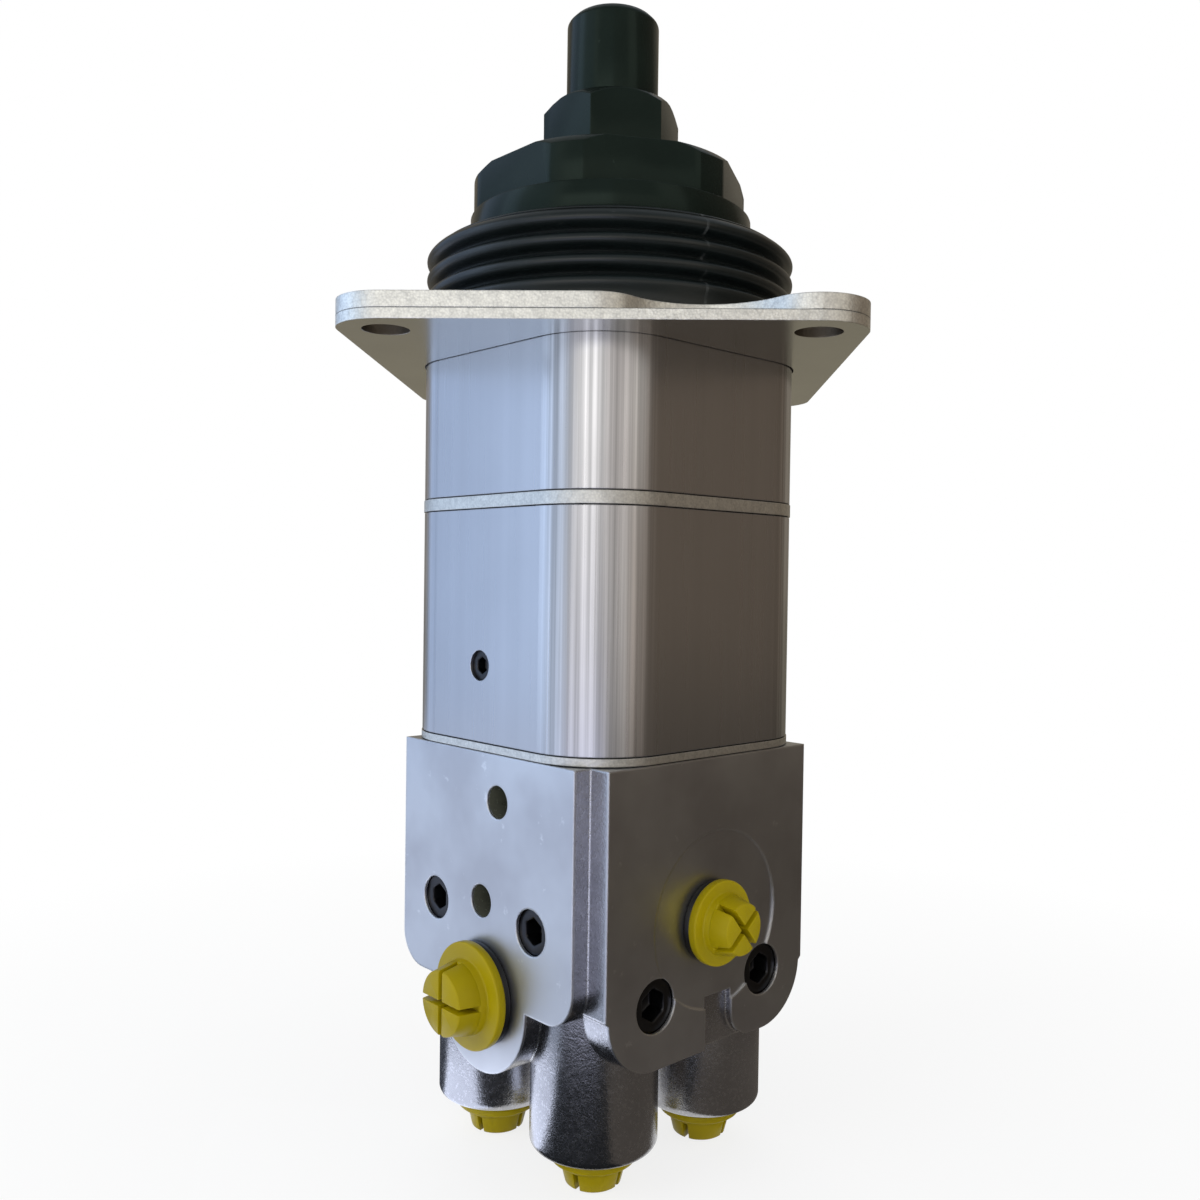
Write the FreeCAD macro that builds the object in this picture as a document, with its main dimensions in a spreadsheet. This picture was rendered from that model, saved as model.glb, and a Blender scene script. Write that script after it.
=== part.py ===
import FreeCAD, Part
import math
import os
import Sketcher

# Hydraulic pilot joystick valve, built as separate bodies and written one STEP file per sub-part.
# Millimetres. The origin is the centre of the flange's underside and +Z runs up along the lever.
# The housings and the port block stand turned by 45 degrees to the square flange.

Vector = FreeCAD.Vector
Rotation = FreeCAD.Rotation
Placement = FreeCAD.Placement

BODY_TURN = -45.0
ROOT_HALF = math.sqrt(0.5)
ROOT_TWO = math.sqrt(2.0)
ROOT_THREE = math.sqrt(3.0)
# Two heights or places closer than this count as the same.
NEAR = 1e-4
# Whole numbers of things that repeat.
BOOT_FOLDS = 4
RETURN_TURNS = 6
CONTROL_TURNS = 7
CLOSED_TURNS = 1
STEPS_A_TURN = 8

# How far each cap is turned about its own axis, in degrees.
PRESSURE_CAP_TURN = 40.0
WORK_CAP_TURN = 30.0

SIZES = [
    # flange
    ("flange_side", 98.6, "side of both flange plates"),
    ("flange_corner", 10.0, "corner radius of the flange"),
    ("lower_flange_thick", 2.0, "lower plate"),
    ("upper_flange_thick", 3.0, "upper plate"),
    ("bolt_edge", 9.3, "panel bolt from each side of the flange"),
    ("bolt_hole_radius", 4.5, "panel bolt hole"),
    ("scallop_radius", 17.0, "hollow in the upper plate's front edge"),
    ("scallop_depth", 9.6, "how far the hollow reaches in"),
    ("scallop_place", 19.0, "hollow's middle from the flange centre line"),
    ("scallop_blend", 9.0, "round at each end of the hollow"),
    ("scallop_reach", 18.0, "half the hollow's width at most"),
    # housings
    ("body_side", 66.0, "side of the housings"),
    ("body_corner", 16.0, "corner radius of the housings"),
    ("upper_housing_depth", 29.0, "underside of the flange to the upper seam"),
    ("middle_plate_thick", 3.0, "seam to seam, with both gaskets"),
    ("lower_housing_long", 47.0, "height of the lower housing"),
    ("bottom_plate_thick", 2.0, "with both gaskets"),
    ("gasket_thick", 0.25, "each gasket"),
    ("gasket_inset", 0.4, "gasket edge behind the housing's side"),
    ("plate_proud", 0.15, "plates stand out past the housing's side"),
    ("flange_clearance", 0.35, "housing in the lower plate's opening"),
    ("bore_pitch", 31.7, "square of the four plunger and spool bores"),
    ("chamber_radius", 9.0, "spring chamber"),
    ("chamber_roof", 7.8, "upper housing's top to the chamber's roof"),
    ("chamber_depth", 26.0, "chamber floor below the lower housing's top"),
    ("bore_clearance", 0.03, "running clearance of spools, plungers and pins"),
    # plungers and guides
    ("plunger_radius", 4.0, "plunger and its domed top"),
    ("plunger_rise", 4.0, "dome's centre above the joint's pivot"),
    ("plunger_foot", 14.2, "plunger's lower end below the flange's underside"),
    ("guide_radius", 6.5, "guide sleeve"),
    ("guide_head_radius", 8.0, "guide's head in the upper plate"),
    ("guide_long", 7.5, "sleeve below the head"),
    ("guide_clearance", 0.1, "guide's head in its hole"),
    ("seal_radius", 5.5, "seal groove in the guide's head"),
    ("seal_thick", 2.2, "seal height"),
    ("seat_radius", 8.5, "spring seat"),
    ("seat_thick", 3.0, "spring seat"),
    ("seat_nose_radius", 2.9, "nose that centres the control spring"),
    ("seat_nose_long", 4.0, "nose below the seat"),
    # spools
    ("spool_radius", 4.0, "spool land"),
    ("spool_neck_radius", 2.8, "spool between its lands"),
    ("spool_collar_radius", 5.6, "collar under the control spring"),
    ("spool_collar_thick", 2.5, "collar"),
    ("spool_collar_place", 14.0, "collar's top below the lower housing's top"),
    ("spool_bore_deep", 53.0, "spool bore in the port block"),
    ("spool_end_gap", 3.0, "bore's floor to the spool's end"),
    ("work_gallery_radius", 2.5, "bore's floor to the work port"),
    # springs
    ("return_wire", 1.6, "return spring wire"),
    ("return_radius", 7.4, "return spring's mean radius"),
    ("control_wire", 1.2, "control spring wire"),
    ("control_radius", 3.9, "control spring's mean radius"),
    ("coil_lift", 1.06, "closed coil to the next, as a share of the wire"),
    # tie screws
    ("tie_radius", 2.5, "tie screw shank"),
    ("tie_clearance", 0.25, "shank in the plates and housings"),
    ("tie_place", 23.0, "tie screw from the axis"),
    ("tie_head_radius", 5.0, "countersunk head"),
    ("tie_head_high", 2.5, "countersunk head"),
    ("tie_thread_deep", 14.0, "thread in the port block"),
    ("tie_end_gap", 1.0, "screw's end to the thread's floor"),
    ("tie_socket_across", 3.0, "hexagon socket"),
    ("tie_socket_deep", 1.6, "hexagon socket"),
    # retainer and joint
    ("retainer_thick", 2.8, "retainer plate on the flange"),
    ("retainer_radius", 36.0, "retainer plate"),
    ("retainer_groove", 1.0, "groove for the boot's bead"),
    ("retainer_bead", 1.2, "height of the groove"),
    ("retainer_opening", 11.0, "opening round the joint"),
    ("plunger_opening", 4.4, "plunger's hole in the retainer"),
    ("pivot_height", 12.7, "joint's pivot above the flange's underside"),
    ("pedestal_radius", 12.0, "pedestal's base"),
    ("pedestal_shank_radius", 5.0, "pedestal's threaded shank"),
    ("pedestal_shank_long", 14.0, "shank in the upper housing"),
    ("fork_inner", 5.5, "inside of each fork arm from the axis"),
    ("fork_outer", 9.0, "outside of each fork arm"),
    ("fork_tip_radius", 3.6, "round end of each arm"),
    ("pin_radius", 2.0, "cross pins"),
    ("cross_half", 5.2, "half the cross block's width"),
    ("cross_half_high", 4.0, "half its height"),
    ("pin_gap", 0.3, "short pins to the long pin"),
    ("yoke_hub_radius", 10.5, "yoke's hub"),
    ("yoke_hub_place", 6.8, "hub's underside above the pivot"),
    ("yoke_hub_thick", 4.0, "hub"),
    ("stud_radius", 5.0, "yoke's threaded stud"),
    ("stud_in_stub", 13.3, "stud inside the lever stub"),
    # head
    ("dome_gap", 0.5, "plunger's dome to the disc at rest"),
    ("disc_face_radius", 26.5, "face that presses the plungers"),
    ("disc_face_thick", 2.4, "that face's edge"),
    ("disc_neck_radius", 25.0, "groove that holds the boot's top"),
    ("disc_neck_high", 2.6, "that groove"),
    ("disc_rim_radius", 30.5, "round rim"),
    ("disc_rim_thick", 5.3, "round rim"),
    ("disc_head_radius", 29.8, "corners of the wrench flats"),
    ("disc_head_high", 9.3, "wrench flats"),
    ("disc_across_flats", 54.6, "wrench size"),
    ("flats_angle", -105.0, "a corner of the disc's and the nut's hexagon, in degrees"),
    ("disc_chamfer", 1.6, "top edge of the wrench flats"),
    ("nut_across_flats", 26.2, "lock nut"),
    ("nut_high", 15.9, "lock nut"),
    ("nut_chamfer", 1.5, "top corners of the lock nut"),
    ("stub_radius", 10.0, "lever stub"),
    ("stub_long", 19.4, "lever stub"),
    ("stub_chamfer", 1.5, "top edge of the lever stub"),
    # boot
    ("boot_crest_radius", 39.8, "fold's crest"),
    ("boot_root_radius", 37.0, "fold's root"),
    ("boot_wall", 1.3, "boot wall"),
    ("boot_pitch", 4.3, "fold to fold"),
    ("boot_first_crest", 4.5, "first crest above the flange"),
    ("boot_shoulder_radius", 37.8, "where the top folds in"),
    ("boot_shoulder_drop", 1.7, "shoulder below the boot's top"),
    ("boot_top_radius", 31.2, "flat top"),
    ("boot_fit", 0.05, "boot's beads in their grooves"),
    # port block
    ("block_high", 49.0, "block's top to the cast underside between the bosses"),
    ("block_half", 30.8, "cast side from the axis"),
    ("block_corner", 14.5, "corner radius of the casting"),
    ("cast_round", 5.0, "round under the casting"),
    ("tank_pad_half", 28.0, "half the width of the tank pad"),
    ("pressure_pad_half", 29.0, "half the width of the pressure pad"),
    ("pad_deep", 7.0, "thickness of each pad"),
    ("boss_radius", 13.0, "work port boss"),
    ("boss_high", 29.4, "boss below the cast underside"),
    ("boss_bury", 12.0, "boss inside the casting"),
    ("boss_round", 1.6, "boss's lower edge"),
    ("pressure_port_place", 32.8, "pressure port below the block's top"),
    ("pressure_port_radius", 5.9, "G1/4 bore"),
    ("pressure_port_deep", 13.0, "thread depth"),
    ("pressure_spot_radius", 17.9, "spot face"),
    ("pressure_spot_aside", 1.5, "spot face from the port's axis"),
    ("spot_deep", 0.4, "spot face"),
    ("pressure_gallery_radius", 3.6, "cross drilling"),
    ("tank_port_place", 48.7, "tank port below the block's top"),
    ("tank_lobe_place", 50.2, "tank pad's lobe below the block's top"),
    ("tank_port_radius", 7.5, "G3/8 bore"),
    ("tank_port_deep", 13.0, "thread depth"),
    ("tank_lobe_radius", 14.4, "round lobe of the tank pad"),
    ("tank_lobe_deep", 14.0, "thickness of that lobe"),
    ("tank_gallery_radius", 4.6, "cross drilling"),
    ("tank_pad_high", 49.0, "tank pad without its lobe"),
    ("tank_pad_corner", 7.0, "its lower corners"),
    ("pressure_pad_lobe", 12.4, "round lobes of the pressure pad"),
    ("pressure_notch_left", 1.6, "notch's left side from the pad's middle"),
    ("pressure_notch_right", 6.2, "notch's right side from the pad's middle"),
    ("pressure_notch_round", 6.0, "round where the right side meets the pad's end"),
    ("pressure_notch_high", 10.6, "notch"),
    ("pressure_notch_deep", 1.6, "notch, into the pad"),
    ("gallery_radius", 3.0, "galleries along the bores"),
    ("gallery_reach", 5.5, "gallery past the far bore's axis"),
    ("tank_plug_radius", 4.5, "plugs in the tank pad"),
    ("pressure_plug_radius", 5.25, "plugs in the pressure pad"),
    ("pressure_plug_low", 46.3, "those plugs below the block's top"),
    ("plug_long", 7.5, "plug"),
    ("plug_sunk", 0.7, "plug below the pad"),
    ("tank_plug_across", 4.6, "hexagon socket"),
    ("pressure_plug_across", 5.6, "hexagon socket"),
    ("plug_socket_deep", 4.0, "hexagon socket"),
    ("stand_hole_radius", 3.35, "small open holes, tapping size of M8"),
    ("stand_hole_low", 30.1, "lower small hole below the block's top"),
    ("stand_hole_deep", 13.0, "lower small hole"),
    ("stand_hole_high", 9.4, "upper small hole below the block's top"),
    ("stand_hole_aside", 4.9, "upper small hole from the pad's middle"),
    ("stand_hole_shallow", 7.0, "upper small hole"),
    ("work_port_radius", 5.9, "G1/4 bore"),
    ("work_port_deep", 12.5, "thread depth"),
    # set screw
    ("set_screw_radius", 3.1, "housing set screw"),
    ("set_screw_long", 4.0, "housing set screw"),
    ("set_screw_sunk", 0.6, "below the housing's face"),
    ("set_screw_room", 0.6, "screw's inner end to the hole's floor"),
    ("set_screw_place", 31.6, "below the lower housing's top"),
    ("set_screw_aside", 1.5, "from the middle of the face"),
    ("set_screw_across", 3.0, "hexagon socket"),
    ("set_screw_socket", 2.2, "hexagon socket"),
    # caps
    ("cap_fit", 0.05, "cap's shank in its port"),
    ("cap_wall", 1.5, "wall of the hollow shank"),
    ("cap_seal_thick", 1.5, "black ring behind each cap"),
    ("cap_seal_inset", 0.3, "ring behind the cap's edge"),
    ("cap_slot", 1.2, "cross slots in each knob"),
    ("pressure_cap_flange", 8.5, "flange radius"),
    ("pressure_cap_thick", 1.9, "flange"),
    ("pressure_cap_knob", 6.0, "knob radius"),
    ("pressure_cap_high", 5.4, "knob"),
    ("pressure_cap_shank", 9.0, "shank"),
    ("tank_cap_flange", 10.7, "flange radius"),
    ("tank_cap_thick", 2.0, "flange"),
    ("tank_cap_knob", 7.3, "knob radius"),
    ("tank_cap_high", 6.2, "knob"),
    ("tank_cap_shank", 9.0, "shank"),
    ("work_cap_flange", 8.8, "flange radius"),
    ("work_cap_thick", 1.5, "flange"),
    ("work_cap_knob", 6.6, "knob radius"),
    ("work_cap_high", 5.0, "knob"),
    ("work_cap_shank", 8.0, "shank"),
    ("cap_slot_share", 0.7, "depth of those slots as a share of the knob"),
    ("knob_draft", 0.9, "how much a knob narrows"),
]

os.makedirs("parts", exist_ok=True)
doc = FreeCAD.newDocument("pilot_joystick_valve")
sheet = doc.addObject("Spreadsheet::Sheet", "Sizes")
for row, (alias, amount, note) in enumerate(SIZES, start=1):
    sheet.set(f"A{row}", alias)
    sheet.set(f"B{row}", str(amount))
    sheet.set(f"C{row}", note)
    sheet.setAlias(f"B{row}", alias)
doc.recompute()


class Dim:
    """A size that keeps the sheet formula it comes from beside its value."""

    def __init__(self, value, text=None):
        self.value = float(value)
        self.text = repr(float(value)) if text is None else text

    def __add__(self, other):
        other = as_dim(other)
        return Dim(self.value + other.value, f"({self.text} + {other.text})")

    def __sub__(self, other):
        other = as_dim(other)
        return Dim(self.value - other.value, f"({self.text} - {other.text})")

    def __mul__(self, other):
        other = as_dim(other)
        return Dim(self.value * other.value, f"({self.text} * {other.text})")

    def __truediv__(self, other):
        other = as_dim(other)
        return Dim(self.value / other.value, f"({self.text} / {other.text})")

    def __neg__(self):
        return Dim(-self.value, f"(0 - {self.text})")


def as_dim(amount):
    """Wrap a plain number so that it can be used with sheet sizes."""
    return amount if isinstance(amount, Dim) else Dim(amount)


def size(name):
    """Read one size from the sheet."""
    return Dim(sheet.get(name), f"Sizes.{name}")


ZERO = Dim(0.0)


def bind(feature, path, amount):
    """Tie one property of a feature to the sheet."""
    feature.setExpression(path, amount.text)


def new_body(label, x=ZERO, y=ZERO, z=ZERO, rotation=None):
    """Start a sub-part and tie its place to the sheet."""
    body = doc.addObject("PartDesign::Body", label)
    body.Label = label
    body.Placement = Placement(Vector(x.value, y.value, z.value), rotation or Rotation())
    for axis, amount in (("x", x), ("y", y), ("z", z)):
        bind(body, f"Placement.Base.{axis}", amount)
    return body


def block_body(label):
    """Start a sub-part in the frame of the turned housings."""
    return new_body(label, rotation=Rotation(Vector(0, 0, 1), BODY_TURN))


def sketch_on(body, plane, offset=ZERO):
    """Open a sketch on one of the body's own planes, moved along the plane's normal."""
    sketch = body.newObject("Sketcher::SketchObject", f"{body.Name}_sketch")
    support = [item for item in body.Origin.OriginFeatures if item.Role == plane][0]
    sketch.AttachmentSupport = [(support, "")]
    sketch.MapMode = "FlatFace"
    sketch.AttachmentOffset = Placement(Vector(0, 0, offset.value), Rotation())
    bind(sketch, "AttachmentOffset.Base.z", offset)
    return sketch


def tie(sketch, kind, geometry, point, amount):
    """Add one driving dimension and tie it to the sheet."""
    index = sketch.addConstraint(Sketcher.Constraint(kind, geometry, point, amount.value))
    bind(sketch, f"Constraints[{index}]", amount)


def pin_point(sketch, geometry, point, x, y):
    """Fix a point of the sketch at x, y."""
    for kind, axis, amount in (("DistanceX", -2, x), ("DistanceY", -1, y)):
        if amount is ZERO:
            sketch.addConstraint(Sketcher.Constraint("PointOnObject", geometry, point, axis))
        else:
            tie(sketch, kind, geometry, point, amount)


def draw_outline(sketch, corners):
    """Draw a closed outline of straight edges whose corners are all fixed."""
    first = sketch.GeometryCount
    count = len(corners)
    spots = [Vector(x.value, y.value, 0) for x, y in corners]
    for index in range(count):
        sketch.addGeometry(Part.LineSegment(spots[index], spots[(index + 1) % count]))
    for index in range(count):
        following = first + (index + 1) % count
        sketch.addConstraint(Sketcher.Constraint("Coincident", first + index, 2, following, 1))
    for index, (x, y) in enumerate(corners):
        pin_point(sketch, first + index, 1, x, y)


def draw_circle(sketch, x, y, radius):
    """Draw a circle with a fixed centre."""
    circle = Part.Circle(Vector(x.value, y.value, 0), Vector(0, 0, 1), radius.value)
    index = sketch.addGeometry(circle)
    pin_point(sketch, index, 3, x, y)
    constraint = sketch.addConstraint(Sketcher.Constraint("Radius", index, radius.value))
    bind(sketch, f"Constraints[{constraint}]", radius)


def draw_rounded_square(sketch, half, radius):
    """Draw a centred square with round corners."""
    reach, turn, flat = half.value, radius.value, half.value - radius.value
    up = Vector(0, 0, 1)
    ends = [
        ((-flat, -reach), (flat, -reach), (flat, -flat), 270, "DistanceY", -half),
        ((reach, -flat), (reach, flat), (flat, flat), 0, "DistanceX", half),
        ((flat, reach), (-flat, reach), (-flat, flat), 90, "DistanceY", half),
        ((-reach, flat), (-reach, -flat), (-flat, -flat), 180, "DistanceX", -half),
    ]
    first = sketch.GeometryCount
    for start, stop, centre, angle, _, _ in ends:
        sketch.addGeometry(Part.LineSegment(Vector(*start, 0), Vector(*stop, 0)))
        round_corner = Part.Circle(Vector(*centre, 0), up, turn)
        sweep = (math.radians(angle), math.radians(angle + 90))
        sketch.addGeometry(Part.ArcOfCircle(round_corner, *sweep))
    for side in range(4):
        line, arc = first + 2 * side, first + 2 * side + 1
        after = first + (2 * side + 2) % 8
        sketch.addConstraint(Sketcher.Constraint("Tangent", line, 2, arc, 1))
        sketch.addConstraint(Sketcher.Constraint("Tangent", arc, 2, after, 1))
        level = "Horizontal" if side % 2 == 0 else "Vertical"
        sketch.addConstraint(Sketcher.Constraint(level, line))
        tie(sketch, ends[side][4], line, 1, ends[side][5])
        if side:
            sketch.addConstraint(Sketcher.Constraint("Equal", first + 1, arc))
    constraint = sketch.addConstraint(Sketcher.Constraint("Radius", first + 1, turn))
    bind(sketch, f"Constraints[{constraint}]", radius)


def draw_hexagon(sketch, across, angle, x=ZERO, y=ZERO):
    """Draw a hexagon across its flats, with its first corner at the given angle."""
    radius = across / ROOT_THREE
    first = sketch.GeometryCount
    spots = []
    for corner in range(7):
        turn = math.radians(angle + 60.0 * corner)
        spots.append(Vector(x.value + radius.value * math.cos(turn), y.value + radius.value * math.sin(turn), 0))
    for corner in range(6):
        sketch.addGeometry(Part.LineSegment(spots[corner], spots[corner + 1]))
    ring = sketch.addGeometry(Part.Circle(Vector(x.value, y.value, 0), Vector(0, 0, 1), radius.value), True)
    pin_point(sketch, ring, 3, x, y)
    for corner in range(6):
        after = first + (corner + 1) % 6
        sketch.addConstraint(Sketcher.Constraint("Coincident", first + corner, 2, after, 1))
        sketch.addConstraint(Sketcher.Constraint("PointOnObject", first + corner, 1, ring))
        if corner:
            sketch.addConstraint(Sketcher.Constraint("Equal", first, first + corner))
    constraint = sketch.addConstraint(Sketcher.Constraint("Radius", ring, radius.value))
    bind(sketch, f"Constraints[{constraint}]", radius)
    slope = math.radians(angle + 120.0)
    sketch.addConstraint(Sketcher.Constraint("Angle", first, slope))


def draw_tab(sketch, half, root, tip_centre):
    """Draw an arm with a round tip: its flat end at root, its round end about tip_centre."""
    upward = tip_centre.value > root.value
    near, far = Vector(-half.value, root.value, 0), Vector(half.value, root.value, 0)
    left, right = Vector(-half.value, tip_centre.value, 0), Vector(half.value, tip_centre.value, 0)
    first = sketch.GeometryCount
    sketch.addGeometry(Part.LineSegment(left, near))
    sketch.addGeometry(Part.LineSegment(near, far))
    sketch.addGeometry(Part.LineSegment(far, right))
    circle = Part.Circle(Vector(0, tip_centre.value, 0), Vector(0, 0, 1), half.value)
    sweep = (0.0, math.pi) if upward else (math.pi, 2.0 * math.pi)
    sketch.addGeometry(Part.ArcOfCircle(circle, *sweep))
    start, stop = (1, 2) if upward else (2, 1)
    sketch.addConstraint(Sketcher.Constraint("Coincident", first, 2, first + 1, 1))
    sketch.addConstraint(Sketcher.Constraint("Coincident", first + 1, 2, first + 2, 1))
    sketch.addConstraint(Sketcher.Constraint("Coincident", first + 2, 2, first + 3, start))
    sketch.addConstraint(Sketcher.Constraint("Coincident", first, 1, first + 3, stop))
    pin_point(sketch, first + 1, 1, -half, root)
    pin_point(sketch, first + 1, 2, half, root)
    pin_point(sketch, first, 1, -half, tip_centre)
    pin_point(sketch, first + 3, 3, ZERO, tip_centre)
    tie(sketch, "DistanceY", first + 2, 2, tip_centre)


def extrude(body, sketch, length, kind="PartDesign::Pad", backward=False, both_ways=False):
    """Pad or pocket a sketch by a length tied to the sheet."""
    feature = body.newObject(kind, f"{body.Name}_{kind[12:].lower()}")
    feature.Profile = sketch
    feature.Length = length.value
    bind(feature, "Length", length)
    feature.Reversed = backward
    feature.Midplane = both_ways
    body.Tip = feature
    return feature


def pocket(body, sketch, depth, backward=False, both_ways=False):
    """Cut a sketch into the body."""
    return extrude(body, sketch, depth, "PartDesign::Pocket", backward, both_ways)


def spin(body, profile, kind="PartDesign::Revolution"):
    """Turn an outline of (radius, height) corners about the body's Z axis."""
    sketch = sketch_on(body, "XZ_Plane")
    draw_outline(sketch, profile)
    feature = body.newObject(kind, f"{body.Name}_{kind[12:].lower()}")
    feature.Profile = sketch
    feature.ReferenceAxis = (sketch, ["V_Axis"])
    feature.Angle = 360
    body.Tip = feature
    return feature


def turned(label, profile, x=ZERO, y=ZERO, z=ZERO, rotation=None):
    """Make a sub-part that is turned on a lathe."""
    body = new_body(label, x, y, z, rotation)
    spin(body, profile)
    return body


def drill(body, plane, offset, holes, depth, backward=False):
    """Cut round holes, given as (x, y, radius), from a plane into the body."""
    sketch = sketch_on(body, plane, offset)
    for x, y, radius in holes:
        draw_circle(sketch, x, y, radius)
    return pocket(body, sketch, depth, backward)


def pick_edges(body, test):
    """Name the edges of the body's last feature that pass a test."""
    doc.recompute()
    edges = enumerate(body.Tip.Shape.Edges, start=1)
    return [f"Edge{number}" for number, edge in edges if test(edge)]


def dress(body, kind, test, amount):
    """Fillet or chamfer the edges that pass a test."""
    names = pick_edges(body, test)
    source = body.Tip
    feature = body.newObject(kind, f"{body.Name}_{kind[12:].lower()}")
    feature.Base = (source, names)
    path = "Radius" if kind.endswith("Fillet") else "Size"
    setattr(feature, path, amount.value)
    bind(feature, path, amount)
    body.Tip = feature
    return feature


def copies(label, master, spots, angle=0.0):
    """Group equal solids: one copy of the master at each (x, y) of the housings' frame or the flange's."""
    links = []
    rotation = Rotation(Vector(0, 0, 1), angle)
    for x, y in spots:
        link = doc.addObject("App::Link", f"{label}_copy")
        link.LinkedObject = master
        link.LinkTransform = False
        base = master.Placement.Base
        link.Placement = Placement(Vector(x.value, y.value, base.z), rotation * master.Placement.Rotation)
        bind(link, "Placement.Base.x", x)
        bind(link, "Placement.Base.y", y)
        links.append(link)
    group = doc.addObject("Part::Compound", label)
    group.Label = label
    group.Links = links
    return group


def level_edge(edge, height):
    """Tell whether an edge lies flat at a height."""
    box = edge.BoundBox
    return abs(box.ZMin - height) < 1e-4 and abs(box.ZMax - height) < 1e-4


# Heights, all from the flange's underside.
flange_top = size("lower_flange_thick") + size("upper_flange_thick")
housing_top = size("lower_flange_thick")
upper_seam = -size("upper_housing_depth")
lower_seam = upper_seam - size("middle_plate_thick")
lower_housing_end = lower_seam - size("lower_housing_long")
block_top = lower_housing_end - size("bottom_plate_thick")
cast_underside = block_top - size("block_high")
boss_end = cast_underside - size("boss_high")
retainer_top = flange_top + size("retainer_thick")
pivot = size("pivot_height")
dome_centre = pivot + size("plunger_rise")
disc_face = dome_centre + size("plunger_radius") + size("dome_gap")
hub_bottom = pivot + size("yoke_hub_place")
hub_top = hub_bottom + size("yoke_hub_thick")
neck_bottom = disc_face + size("disc_face_thick")
neck_top = neck_bottom + size("disc_neck_high")
rim_top = neck_top + size("disc_rim_thick")
disc_top = rim_top + size("disc_head_high")
nut_top = disc_top + size("nut_high")
stub_top = nut_top + size("stub_long")
chamber_roof = housing_top - size("chamber_roof")
chamber_floor = lower_seam - size("chamber_depth")
seat_top = -size("plunger_foot")
seat_bottom = seat_top - size("seat_thick")
collar_top = lower_seam - size("spool_collar_place")
collar_bottom = collar_top - size("spool_collar_thick")
spool_floor = block_top - size("spool_bore_deep")
spool_end = spool_floor + size("spool_end_gap")
pressure_port = block_top - size("pressure_port_place")
tank_port = block_top - size("tank_port_place")
pressure_plugs = block_top - size("pressure_plug_low")

# Patterns in the housings' frame.
half_bore = size("bore_pitch") / 2.0
bores = [(half_bore, half_bore), (-half_bore, half_bore), (-half_bore, -half_bore), (half_bore, -half_bore)]
tie_place = size("tie_place")
ties = [(tie_place, ZERO), (ZERO, tie_place), (-tie_place, ZERO), (ZERO, -tie_place)]

# The same patterns in the flange's frame.
bore_ring = half_bore * ROOT_TWO
plunger_spots = {
    "front": (ZERO, -bore_ring),
    "right": (bore_ring, ZERO),
    "back": (ZERO, bore_ring),
    "left": (-bore_ring, ZERO),
}
tie_across = tie_place * ROOT_HALF
tie_spots = [(tie_across, tie_across), (-tie_across, tie_across), (-tie_across, -tie_across), (tie_across, -tie_across)]
half_body = size("body_side") / 2.0
face_across = half_body * ROOT_HALF
tie_hole = size("tie_radius") + size("tie_clearance")
runs_in = size("bore_clearance")


def round_holes(spots, radius):
    """Give the same radius to every spot of a pattern."""
    return [(x, y, radius) for x, y in spots]


# Flange plates.
half_flange = size("flange_side") / 2.0
half_bolt = half_flange - size("bolt_edge")
bolt_spots = [(half_bolt, half_bolt), (-half_bolt, half_bolt), (-half_bolt, -half_bolt), (half_bolt, -half_bolt)]
bolt_holes = round_holes(bolt_spots, size("bolt_hole_radius"))

lower_flange = new_body("mounting_flange_lower")
outline = sketch_on(lower_flange, "XY_Plane")
draw_rounded_square(outline, half_flange, size("flange_corner"))
extrude(lower_flange, outline, size("lower_flange_thick"))
drill(lower_flange, "XY_Plane", flange_top, bolt_holes, flange_top)
# The opening follows the housing, which stands turned by 45 degrees, so its sketch is turned too.
opening = sketch_on(lower_flange, "XY_Plane", flange_top)
opening.AttachmentOffset = Placement(Vector(0, 0, flange_top.value), Rotation(Vector(0, 0, 1), BODY_TURN))
bind(opening, "AttachmentOffset.Base.z", flange_top)
clear = size("flange_clearance")
draw_rounded_square(opening, half_body + clear, size("body_corner") + clear)
pocket(lower_flange, opening, flange_top)

upper_flange = new_body("mounting_flange_upper")
outline = sketch_on(upper_flange, "XY_Plane", size("lower_flange_thick"))
draw_rounded_square(outline, half_flange, size("flange_corner"))
extrude(upper_flange, outline, size("upper_flange_thick"))
scallop_centre = size("scallop_depth") - half_flange - size("scallop_radius")
drill(
    upper_flange, "XY_Plane", flange_top,
    [(size("scallop_place"), scallop_centre, size("scallop_radius"))], size("upper_flange_thick"),
)


def scallop_end(edge):
    """Tell whether an upright edge is one of the hollow's two ends."""
    box = edge.BoundBox
    upright = box.ZLength > box.XLength + NEAR and box.YLength < NEAR
    at_front = abs(box.YMin + half_flange.value) < NEAR
    at_hollow = abs(box.XMin - size("scallop_place").value) < size("scallop_reach").value
    return upright and at_front and at_hollow


dress(upper_flange, "PartDesign::Fillet", scallop_end, size("scallop_blend"))
drill(upper_flange, "XY_Plane", flange_top, bolt_holes, flange_top)
guide_holes = round_holes(plunger_spots.values(), size("guide_head_radius") + size("guide_clearance"))
pedestal_hole = (ZERO, ZERO, size("pedestal_radius") + size("guide_clearance"))
upper_holes = guide_holes + round_holes(tie_spots, tie_hole) + [pedestal_hole]
drill(upper_flange, "XY_Plane", flange_top, upper_holes, flange_top)

# Housings, plates and gaskets: one rounded square each, stacked downwards.


def stacked(label, top, height, half, corner):
    """Make one layer of the housing stack."""
    body = block_body(label)
    sketch = sketch_on(body, "XY_Plane", top)
    draw_rounded_square(sketch, half, corner)
    extrude(body, sketch, height, backward=True)
    drill(body, "XY_Plane", top, round_holes(ties, tie_hole), height)
    return body


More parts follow.
